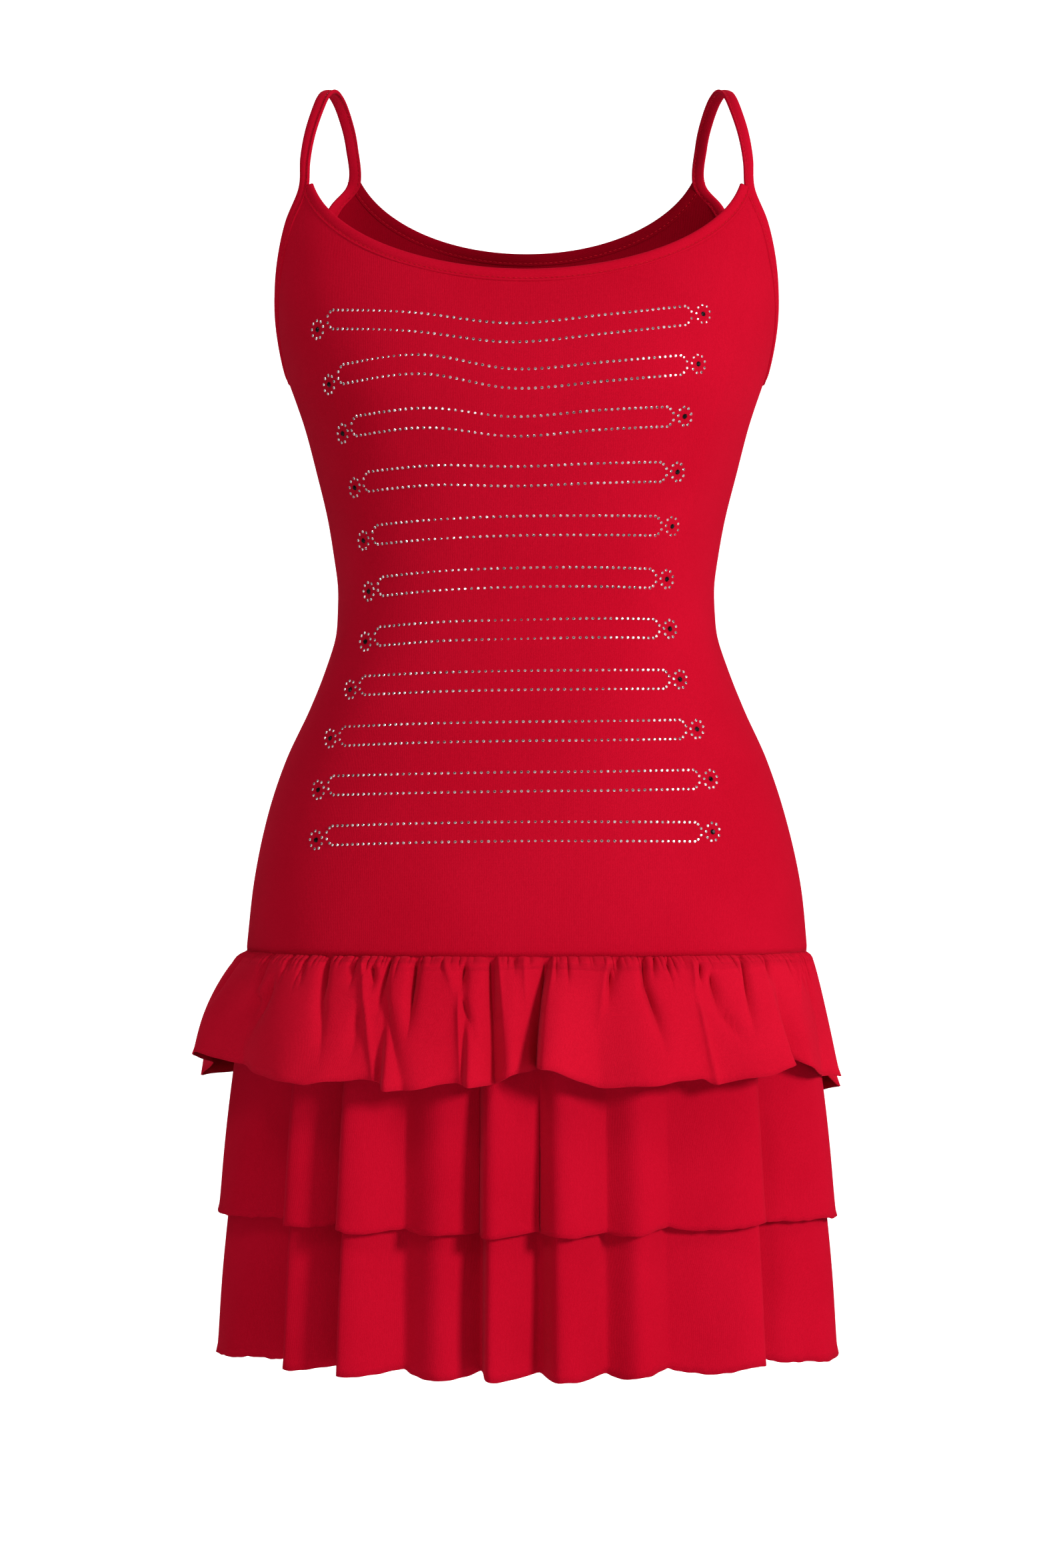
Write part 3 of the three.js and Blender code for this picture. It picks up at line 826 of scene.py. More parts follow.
@dataclass
class Stitching:
    """Rows of straight stitches, each a short thread sunk at both ends."""

    length: float = 2.3
    gap: float = 0.9
    thick: float = 0.42
    sides: int = 6  # the caps are made for six

    # along a stitch: its share of the length, and its rise and size as shares of the thread's thickness
    bow: tuple[tuple[float, float, float], ...] = (
        (0.0, -0.7, 0.3),
        (0.12, 0.1, 0.8),
        (0.5, 0.35, 1.0),
        (0.88, 0.1, 0.8),
        (1.0, -0.7, 0.3),
    )

    def row(self, points: np.ndarray, faces: np.ndarray, closed: bool) -> tuple[np.ndarray, np.ndarray]:
        """The threads along a line.

        Args:
            points: the line.
            faces: the directions out of the cloth along it.
            closed: whether the line closes on itself.

        Returns:
            Vertices and faces of the threads.
        """
        if closed:
            points, faces = np.concatenate([points, points[:1]]), np.concatenate([faces, faces[:1]])
        lengths = travelled(points)
        starts = np.arange(self.gap, lengths[-1] - self.length, self.length + self.gap)
        shares, rises, sizes = np.array(self.bow).T
        where = starts[:, None] + shares * self.length
        centre = follow(points, lengths, where)
        face = unit(follow(faces, lengths, where))
        along = unit(np.gradient(centre, axis=1))
        aside = unit(np.cross(face, along))
        turn = turns(self.sides)[:, None]
        ring = np.cos(turn) * aside[:, :, None, :] + np.sin(turn) * face[:, :, None, :]
        ring = ring * (sizes * self.thick / 2)[None, :, None, None]
        vertices = (centre + face * (rises * self.thick)[None, :, None])[:, :, None, :] + ring
        each = len(shares) * self.sides
        starts_of_rings = np.arange(0, each - self.sides, self.sides)
        r, k = np.meshgrid(starts_of_rings, np.arange(self.sides), indexing="ij")
        beside = (k + 1) % self.sides
        one = np.stack([r + k, r + beside, r + self.sides + beside, r + self.sides + k], -1).reshape(-1, 4)
        near_end = np.array([[0, 5, 4, 1], [1, 4, 3, 2]])
        far_end = np.array([[0, 1, 4, 5], [1, 2, 3, 4]]) + each - self.sides
        one = np.concatenate([one, near_end, far_end])
        every = one[None] + (np.arange(len(starts)) * each)[:, None, None]
        return vertices.reshape(-1, 3), every.reshape(-1, 4)

    def build(
        self, name: str, rows: Sequence[tuple[np.ndarray, np.ndarray, bool]], material: bpy.types.Material
    ) -> bpy.types.Object:
        """Joins several rows of stitches into one object.

        Args:
            name: the object's name.
            rows: the rows, each with its points, the directions out of the cloth, and whether it closes.
            material: the thread's finish.

        Returns:
            The object.
        """
        vertices, faces, start = [], [], 0
        for points, outs, closed in rows:
            v, f = self.row(points, outs, closed)
            vertices.append(v)
            faces.append(f + start)
            start += len(v)
        return make_object(name, np.concatenate(vertices), np.concatenate(faces), material)


# Body of the dress
# -----------------


class Side(Enum):
    """The two straps, by the wearer's side, with the sign of their x."""

    LEFT = 1
    RIGHT = -1


@dataclass
class Camisole:
    """The body of the dress: two knit panels, and the bindings that run on as straps."""

    form: BodyForm
    knit: bpy.types.Material
    # a darker copy of the knit for the inner faces, painted shade
    shaded_inside_knit: bpy.types.Material
    binding: bpy.types.Material
    thread: bpy.types.Material
    cloth: float = 1.1
    width: float = 8.0  # of the bindings
    shown_width: float = 10.0  # with the two folded edges
    stitch_line: float = 6.1  # from the free edge to the stitches
    back_stitch_line: float = 6.15  # the same on the reverse
    stitch_lift: float = 0.8
    strap_stitch_lift: float = 0.88
    back_stitch_lift: float = 0.85
    strap_swell: float = 1.12  # how many times as thick as the section the straps are
    columns: int = 150
    rows: int = 130
    strap_steps: int = 300
    neck_steps: int = 200
    edge_steps: int = 240
    fine_steps: int = 4000
    least_step: float = 0.012  # added to each fine step, so that none is empty
    climb: float = 30.0  # to a degree, by which the top edge leaves the neck for the armhole
    seam_roll: float = 0.5  # how far the edge turns in at the waist seam
    roll_reach: float = 2.2
    strap: tuple[StrapStation, ...] = (
        StrapStation(137, -46, -48, -30, 0.05),
        StrapStation(135, -38, -32, -22, 0.12),
        StrapStation(131.5, -27, -17, -14, 0.14),
        StrapStation(127.8, -13, -5, -6, 0.14),
        StrapStation(124.3, 2, -1, 2, 0.14),
        StrapStation(120.6, 18, -4, 10, 0.14),
        StrapStation(116.4, 35, -14, 18, 0.12),
        StrapStation(113, 52, -28.5, 26, 0.1),
    )
    strap_rise: float = 1.1

    # offset from the free edge and lift of a folded binding's section, all round it
    section: tuple[tuple[float, float], ...] = (
        (0.0, 0.0), (0.12, 0.7), (0.65, 1.25), (1.9, 1.55), (3.6, 1.5), (5.0, 1.2), (5.9, 0.72),
        (6.25, 0.66), (6.7, 1.1), (7.2, 1.22), (7.7, 0.98), (8.02, 0.35), (8.0, -0.3), (7.5, -0.95),
        (6.8, -1.02), (6.2, -0.66), (5.6, -0.95), (3.6, -1.2), (1.4, -1.2), (0.5, -1.0), (0.12, -0.6),
    )  # fmt: skip

    def strap_band(self, side: Side) -> Band:
        """The strap and armhole binding of one side, once round.

        Args:
            side: the side.

        Returns:
            The strip.
        """
        rails = []
        for distance in (0.0, self.width):
            front = self.form.inset(np.concatenate([ARMHOLE_BACK[-1:], ARMHOLE_FRONT]), distance)[1:]
            back = self.form.inset(np.concatenate([ARMHOLE_BACK, ARMHOLE_FRONT[:1]]), distance)[:-1]
            free = []
            for station in self.strap:
                turn = math.radians(station.turn)
                neckward = unit(np.array([-math.cos(turn), math.sin(turn), station.lift]))
                edge = np.array([station.x, station.y, station.z + self.strap_rise])
                free.append(edge + distance * neckward)
            loop = [self.form.point(*front.T), np.array(free), self.form.point(*back.T)]
            rails.append(smooth_loop(np.concatenate(loop), self.strap_steps))
        if side is Side.RIGHT:
            rails = [(rail * [-1, 1, 1])[::-1] for rail in rails]
        return Band(*rails, True)

    def neck_band(self, neck: NeckEdge) -> Band:
        """The binding of one neck edge, which ends under the straps.

        Args:
            neck: the edge.

        Returns:
            The strip.
        """
        stations = neck.stations(self.form, self.neck_steps)
        rails = [self.form.point(*self.form.inset(stations, d).T) for d in (0.0, self.width)]
        return Band(*rails, False)

    def top_edge(self, neck: NeckEdge) -> tuple[np.ndarray, np.ndarray]:
        """The left half of a panel's top edge, under the middle of its bindings.

        Args:
            neck: the neck edge of the panel.

        Returns:
            Angles from the centre to the side seam, and the height at each.
        """
        side = 90.0
        low, high = sorted((neck.middle, side))
        run = self.form.inset(neck.stations(self.form, self.edge_steps), self.width / 2)
        run = run[(run[:, 0] > low) & (run[:, 0] < high)]
        run = run[run[:, 0].argsort()]
        if neck.behind:
            arm = np.concatenate([[2 * ARMHOLE_BACK[0] - ARMHOLE_BACK[1]], ARMHOLE_BACK, ARMHOLE_FRONT[:1]])
        else:
            arm = np.concatenate([ARMHOLE_FRONT, [2 * ARMHOLE_FRONT[-1] - ARMHOLE_FRONT[-2]]])
        arm = self.form.inset(arm, self.width / 2)
        arm = arm[arm[:, 0].argsort()]
        angle = neck.middle + (side - neck.middle) * np.linspace(0, 1, self.fine_steps)
        past = np.abs(angle - neck.middle) - np.abs(run[:, 0] - neck.middle).max()
        neck_z = np.interp(angle, *run.T)
        neck_z = np.where(past > 0, neck_z.max() + self.climb * past, neck_z)
        no_arm = {"right" if neck.behind else "left": np.inf}
        height = np.minimum(neck_z, np.interp(angle, *arm.T, **no_arm))
        length = travelled(self.form.point(angle, height)) + self.least_step * np.arange(len(angle))
        wanted = np.linspace(0, length[-1], self.columns // 2 + 1)
        return np.interp(wanted, length, angle), np.interp(wanted, length, height)

    def panel_grid(self, neck: NeckEdge) -> tuple[np.ndarray, np.ndarray]:
        """A panel's places, from its top edge to the waist seam.

        Args:
            neck: the neck edge of the panel.

        Returns:
            Angles and heights, by row.
        """
        angle, top = self.top_edge(neck)
        edge = np.concatenate([angle[::-1], 2 * neck.middle - angle[1:]])
        edge = edge if neck.behind else edge[::-1]
        top = np.concatenate([top[::-1], top[1:]])
        even = np.linspace(edge[0], edge[-1], len(edge))
        share = np.linspace(0, 1, self.rows)[:, None] ** 1.15  # closer rows at the top
        around = edge + (even - edge) * ease(share * 1.6)
        return around, top + (SEAM_Z + 0.1 - top) * share

    def panel(self, node: str, neck: NeckEdge) -> None:
        """Builds a panel.

        Args:
            node: the solid that it stands for.
            neck: the neck edge of the panel.
        """
        around, z = self.panel_grid(neck)
        rolled = self.seam_roll * bell(z, SEAM_Z, self.roll_reach)
        middle = self.form.point(around, z, self.ripple(around, z) - rolled)
        steps = np.linalg.norm(np.diff(middle[..., :2], axis=1), axis=-1)
        flat = along_rows(steps)
        centre = np.abs(around - neck.middle).argmin(axis=1)
        flat = flat - flat[np.arange(len(z)), centre][:, None]
        places = np.stack([flat, z], -1)
        piece = cloth_object(f"{node}_knit", middle, self.cloth, False, self.knit, places, self.shaded_inside_knit)
        attach(piece, node, node)

    def ripple(self, around: np.ndarray, z: np.ndarray) -> np.ndarray:
        """The little unevenness of knit that is stretched over the form.

        Args:
            around: angles in degrees.
            z: heights.

        Returns:
            How far out the cloth lies.
        """
        soft = waves(around, (0.25, 5, z / 31)) * np.sin(z / 57 + 1.0) + waves(around, (0.15, 11, -z / 23))
        bust, waist = bell(z, -176, 22), bell(z, -322, 26)
        off_centre = np.abs(around)
        tucks = 0.6 * bust * bell(off_centre, 76, 9) * np.sin((z + 160) / 5.5)
        return soft + tucks + 0.5 * waist * ease((off_centre - 60) / 25) * np.sin(z / 6.5)

    def build(self) -> None:
        """Builds the panels, the bindings and their stitches."""
        for node, neck in (("front_panel", FRONT_NECK), ("back_panel", BACK_NECK)):
            self.panel(node, neck)
        rows: dict[str, list] = {}
        for node, neck in (("neck_binding_front", FRONT_NECK), ("neck_binding_back", BACK_NECK)):
            band = self.neck_band(neck)
            self.bind(band, node, 1.0)
            rows[node] = [(*band.line(self.stitch_line, self.stitch_lift), False)]
            if neck.behind:
                rows[node] += [(*self.inside(band), False)]
        for side in Side:
            node = f"strap_{side.name.lower()}"
            band = self.strap_band(side)
            self.bind(band, node, self.strap_swell)
            outside = band.line(self.stitch_line, self.strap_stitch_lift)
            rows[node] = [(*outside, True), (*self.inside(band), True)]
        for node, lines in rows.items():
            attach(Stitching().build(f"{node}_stitches", lines, self.thread), node)

    def inside(self, band: Band) -> tuple[np.ndarray, np.ndarray]:
        """The line of stitches along the inner face of a binding, and the directions out of that face."""
        points, face = band.line(self.back_stitch_line, -self.back_stitch_lift)
        return points, -face

    def bind(self, band: Band, node: str, swell: float) -> None:
        """Builds one binding.

        Args:
            band: its strip.
            node: the solid that it stands for.
            swell: how many times as thick as the section it is.
        """
        profile = [(offset, lift * swell) for offset, lift in self.section]
        # the neck bindings' inner faces take the darker knit, painted shade
        inside = None if band.closed else self.shaded_inside_knit
        piece = band.build(f"{node}_fold", profile, self.binding, inside)
        attach(piece, node, node)


# Skirt
# -----


@dataclass(frozen=True)
class Fold:
    """A flute or wave of a layer, from its start to the next one's.

    It stands out by out at the hem and is highest at the share crest of its width. Its crest leans aside by
    tip. At its start the layer stands out by foot, and its hem hangs lower than the mean by drop.
    """

    start: float
    out: float
    crest: float
    tip: float = 0.0
    foot: float = 0.0
    drop: float = 0.0


@dataclass
class FoldTable:
    """The folds of a layer, all round."""

    folds: tuple[Fold, ...]
    round_off: float = 0.55  # half width, in degrees, over which a fold's edges are rounded

    def _at(self, around: np.ndarray) -> dict[str, np.ndarray]:
        """The table's values at angles, with sharp valleys.

        Args:
            around: angles in degrees.

        Returns:
            The same values as from read.
        """
        first = self.folds[0].start
        starts = np.array([fold.start for fold in self.folds] + [first + 360])
        angle = first + np.mod(around - first, 360)
        i = np.clip(np.searchsorted(starts, angle, side="right") - 1, 0, len(self.folds) - 1)
        share = (angle - starts[i]) / (starts[i + 1] - starts[i])

        def column(key: str, ahead: int = 0) -> np.ndarray:
            """What each angle's fold, or the one ahead, says under a key."""
            return np.array([getattr(fold, key) for fold in self.folds])[(i + ahead) % len(self.folds)]

        crest = column("crest")
        t = np.where(share < crest, share / crest, (1 - share) / (1 - crest))
        height = 0.6 * ease(t) + 0.4 * np.sin(t * math.pi / 2)
        found = {"out": column("out") * height, "aside": column("tip") * height}
        found["hang"] = np.sin(math.pi * share**0.7)
        for key in ("drop", "foot"):
            found[key] = column(key) + (column(key, 1) - column(key)) * share
        return found

    def read(self, around: np.ndarray) -> dict[str, np.ndarray]:
        """What the folds say at angles, a little rounded.

        Args:
            around: angles in degrees.

        Returns:
            How far the cloth stands out and aside, how its hem scallops, from 0 to 1, and the drop and
            foot there.
        """
        offsets = np.linspace(-1, 1, 5) * self.round_off
        parts = [self._at(around + offset) for offset in offsets]
        weights = np.array([1.0, 2.0, 3.0, 2.0, 1.0]) / 9.0
        return {key: sum(w * part[key] for w, part in zip(weights, parts)) for key in parts[0]}


FLUTES = FoldTable(
    (
        Fold(-90, 15, 0.3, drop=-6),
        Fold(-49.5, 22, 0.2, -4.0, -8, -1),
        Fold(-35, 25, 0.19, -4.0, -9, 0),
        Fold(-21.3, 13, 0.48, 0.0, -5, 2),
        Fold(-6.5, 22, 0.24, -3.5, -8, 3),
        Fold(1.8, 17, 0.28, -2.0, -6, 3),
        Fold(13, 11, 0.45, 0.0, -4, 3),
        Fold(25.5, 14, 0.74, 6.0, -2, 1),
        Fold(52, 18, 0.6, 0.0, -7, -1),
        Fold(90, 9, 0.45, drop=-2),
        Fold(108, 17, 0.75, 4.0, -3, -2),
        Fold(126, 11, 0.5, 0.0, -6, -1),
        Fold(141, 19, 0.78, 4.0, -4),
        Fold(155, 12, 0.5, 0.0, -7),
        Fold(168, 19, 0.24, -4.0, -6, 1),
        Fold(180, 11, 0.45, 0.0, -4, 1),
        Fold(196, 20, 0.22, -4.0, -7),
        Fold(208, 11, 0.5, 0.0, -5),
        Fold(224, 18, 0.24, -4.0, -7, -2),
        Fold(240, 11, 0.5, 0.0, -4, -3),
        Fold(255, 15, 0.35, -2.0, -4, -5),
    )
)

WAVES = FoldTable(
    (
        Fold(-90, 14, 0.45, -2, 21),
        Fold(-62, 12, 0.5, 0, 20),
        Fold(-25, 12, 0.14, -2, 18),
        Fold(-9.4, 9, 0.2, -1, 18),
        Fold(-4.4, 9, 0.4, 0, 16),
        Fold(1.2, 20, 0.22, -7, 11),
        Fold(11, 8, 0.4, 0, 21),
        Fold(32.5, 16, 0.78, 5, 19),
        Fold(54.5, 8, 0.4, 0, 14),
        Fold(74, 8, 0.5, 0, 13.6),
        Fold(90, 11, 0.5, 0, 12),
        Fold(107, 15, 0.7, 4, 13),
        Fold(126, 11, 0.4, 0, 18),
        Fold(141, 16, 0.75, 5, 18),
        Fold(158, 12, 0.4, 0, 19),
        Fold(171, 14, 0.22, -4, 20),
        Fold(184, 12, 0.5, 0, 18),
        Fold(197, 13, 0.2, -4, 20),
        Fold(212, 15, 0.4, 0, 19),
        Fold(230, 13, 0.24, -4, 19),
        Fold(247, 13, 0.5, 0, 20),
    )
)


# by angle in degrees, how far the ruffle's hem hangs below its mean height
RUFFLE_HEM = (
    (-90, -4), (-76, -13), (-62, -7), (-50, 0), (-40, 2.5), (-29, -1), (-25.5, 0), (-23, 6.5), (-17, 4),
    (-10, 0.5), (-8.6, 3.5), (-4.5, 2), (-1.5, -5), (0.6, -5), (1.6, -7.5), (5, -8), (8, -1), (11, 4),
    (23, 1.5), (31.5, -1.5), (33.5, 3), (45, -3), (53, -10), (57, -11), (64, -2), (74, 2), (90, 3),
    (96, 11), (105, 16), (116, 10), (135, 13), (150, 8), (165, 12), (180, 15), (196, 8), (214, 13),
    (232, 6), (250, 5), (262, 6),
)  # fmt: skip


@dataclass(frozen=True)
class Crease:
    """A crease of the ruffle or, with a negative depth, a ridge.

    It runs from one place to another, each an x and a share of the way from the seam to the hem, and its
    half width is wide. One that reaches a share of 1 runs out over the hem.
    """

    x0: float
    share0: float
    x1: float
    share1: float
    depth: float
    wide: float


CREASES = (
    Crease(-152, 0.0, -164, 0.44, 5.7, 3.6),
    Crease(-160, 0.34, -168, 0.66, 4.3, 6.0),
    Crease(-149, 0.16, -171, 0.9, 6.2, 7.0),
    Crease(-139, 0.0, -143, 0.16, 3.5, 1.8),
    Crease(-130, 0.0, -135, 0.26, 4.1, 2.2),
    Crease(-117.5, 0.0, -124.6, 0.56, 7.8, 3.8),
    Crease(-122, 0.3, -123.5, 0.95, 3.5, 5.0),
    Crease(-100, 0.0, -108, 0.32, 3.8, 3.2),
    Crease(-100, 0.36, -109, 0.92, 3.2, 5.0),
    Crease(-96.3, 0.0, -94, 1.0, -3.0, 2.2),
    Crease(-92.5, 0.06, -93.5, 0.32, 5.9, 3.4),
    Crease(-80, 0.0, -93.5, 0.56, 5.9, 2.8),
    Crease(-65, 0.0, -72, 0.68, 8.6, 3.0),
    Crease(-85.5, 0.26, -73.8, 1.0, 4.9, 5.0),
    Crease(-49.5, 0.0, -41.6, 0.34, -2.5, 2.4),
    Crease(-41.6, 0.26, -41.4, 1.0, -3.0, 2.2),
    Crease(-36.5, 0.05, -41, 0.32, 5.7, 2.4),
    Crease(-40.5, 0.3, -27, 0.72, 3.8, 2.4),
    Crease(-20.5, 0.0, -20.5, 1.0, 6.2, 3.6),
    Crease(-20.3, 0.0, -20.5, 0.6, 4.1, 2.6),
    Crease(-16.6, 0.0, -12, 0.9, -3.0, 2.2),
    Crease(-7.8, 0.0, -7.2, 0.17, 4.6, 1.6),
    Crease(-1.6, 0.0, 0.6, 0.6, -1.6, 1.2),
    Crease(12.6, 0.0, 7.2, 1.0, 11.5, 3.2),
    Crease(16.4, 0.0, 11, 1.0, -3.4, 2.4),
    Crease(54.8, 0.0, 53.6, 0.17, 5.7, 2.2),
    Crease(50.2, 0.05, 49.2, 0.42, 5.9, 3.0),
    Crease(47.4, 0.0, 42.5, 0.62, -2.5, 2.6),
    Crease(68.6, 0.0, 71.8, 0.38, 7.0, 2.6),
    Crease(70.2, 0.18, 86.5, 0.8, 6.2, 3.2),
    Crease(75.8, 0.0, 75.9, 0.2, 4.6, 1.7),
    Crease(84, 0.0, 84.6, 0.15, 4.1, 1.7),
    Crease(96.6, 0.0, 103, 0.4, -2.5, 2.2),
    Crease(102.2, 0.3, 116.5, 1.0, -2.8, 2.2),
    Crease(103.6, 0.05, 105.4, 0.27, 4.3, 2.0),
    Crease(109.5, 0.1, 118, 0.56, 5.4, 3.8),
    Crease(116, 0.42, 132.5, 0.74, 4.3, 3.6),
    Crease(127.5, 0.0, 133.8, 0.72, 5.9, 3.0),
    Crease(142, 0.0, 147, 0.3, 4.3, 3.0),
    Crease(158, 0.0, 166, 0.5, -3.4, 3.4),
)


@dataclass(frozen=True)
class Swing:
    """How far out the tiers stand at a height: the valleys of both tiers and the share of the flutes."""

    z: float
    lower: float
    middle: float
    grow: float


SWINGS = (
    Swing(SEAM_Z, -3.9, -2.7, 0),
    Swing(-560, -2.6, 0.2, 0.3),
    Swing(-600, -2, 1.8, 0.62),
    Swing(-645, -0.6, 4.6, 0.78),
    Swing(-688, 1.5, 7.6, 0.88),
    Swing(-730, 4.2, 11, 0.95),
    Swing(-772, 7.2, 14.4, 1),
)


def flat_places(middle: np.ndarray) -> np.ndarray:
    """The places of a closed grid's points in its flat cut.

    Args:
        middle: the grid.

    Returns:
        For each point its place along, by arc length at the hem, and its height.
    """
    loop = np.concatenate([middle, middle[:, :1]], axis=1)
    steps = np.linalg.norm(np.diff(loop, axis=1), axis=-1)
    scale = steps.sum(axis=1).max() / steps.sum(axis=1)
    return np.stack([along_rows(steps)[:, :-1] * scale[:, None], middle[..., 2]], -1)


@dataclass
class Layer:
    """A layer of the skirt, which hangs from the waist seam all round."""

    form: BodyForm
    knit: bpy.types.Material
    # a darker copy of the knit for the inner face, painted shade
    shaded_inside_knit: bpy.types.Material
    name: str
    hem: float
    cloth: float = 0.9

    def grid(self) -> np.ndarray:
        """The layer's points at mid thickness, from the seam to the hem."""
        raise NotImplementedError

    def hang(self) -> tuple[bpy.types.Object, float]:
        """Builds the layer's cloth.

        Returns:
            The piece and the length of its hem.
        """
        middle = self.grid()
        places = flat_places(middle)
        piece = cloth_object(
            f"{self.name}_cloth", middle, self.cloth, True, self.knit, places, self.shaded_inside_knit
        )
        attach(piece, f"{self.name}_front", f"{self.name}_front", f"{self.name}_back")
        length = float(travelled(np.concatenate([middle[-1], middle[-1, :1]]))[-1])
        log.info("%s: hem %.0f mm round", self.name, length)
        return piece, length


@dataclass
class Tier(Layer):
    """A fluted tier under the ruffle."""

    valley: str = "lower"
    phase: float = 0.0
    scallop: float = 0.0
    loft: float = 0.0  # how far it lies off the flanks of the table's folds
    girth: float = 1120.0
    taper: float = 0.93  # its area as a share of its hem times its drop
    curl_reach: float = 2.5
    columns: int = 900
    rows: int = 44

    def grid(self) -> np.ndarray:
        """The tier's points.

        Returns:
            Rows from the seam to the hem.
        """
        around = np.linspace(-90, 270, self.columns, endpoint=False)
        share = np.linspace(0, 1, self.rows)[:, None]
        found = FLUTES.read(around)
        heights = [swing.z for swing in SWINGS]
        valley = table_curve(heights, [getattr(swing, self.valley) for swing in SWINGS])
        swell_at = table_curve(heights, [swing.grow for swing in SWINGS])
        uneven = waves(around, (0.5, 17, self.phase), (0.4, 31, 2 * self.phase))
        ragged = waves(around, (0.3, 73, 3 * self.phase)) * waves(around, (1.0, 13, 0.0))
        ragged = ragged + waves(around, (0.1, 131, 0.0))
        bottom = self.hem - found["drop"] - self.scallop * (found["hang"] - 0.5) + uneven + ragged
        z = SEAM_Z + (bottom - SEAM_Z) * share
        swell = swell_at(z)
        slack = ease(share) * waves(around, (0.5, 9, z / 37 + self.phase), (0.35, 23, self.phase - z / 19))
        curl = np.exp(-(1 - share) * (SEAM_Z - self.hem) / self.curl_reach)
        curl = curl * (0.5 + waves(around, (0.4, 41, self.phase)))
        out = (found["foot"] + found["out"]) * swell
        aside = found["aside"] * swell
        along = 2 * self.girth / self.columns + step_round(aside, 1)
        rise = step_round(out, 1)
        length = np.hypot(along, rise)
        out = out + valley(z) + slack + curl + self.loft * (along / length - 1)
        return self.form.point(around, z, out, aside - self.loft * rise / length)

    def build(self) -> None:
        """Builds the tier."""
        piece, length = self.hang()
        drop = SEAM_Z - self.hem
        area = self.taper * length * drop * MM * MM


@dataclass(frozen=True)
class Gathers:
    """A kind of small gather, spread over a span of angles, with the range of each of its measures."""

    count: int
    first: float
    span: float
    jitter: float  # how far one strays, as a share of the step
    lean: float  # how far its lower end leans at most, in degrees for each share it reaches
    stray: float  # how far that end strays at random
    depth: tuple[float, float]
    wide: tuple[float, float]
    reach: tuple[float, float]  # how far down it runs, as a share of the ruffle
    far_reach: tuple[float, float] | None = None  # the same for the few that run further
    few: float = 0.2


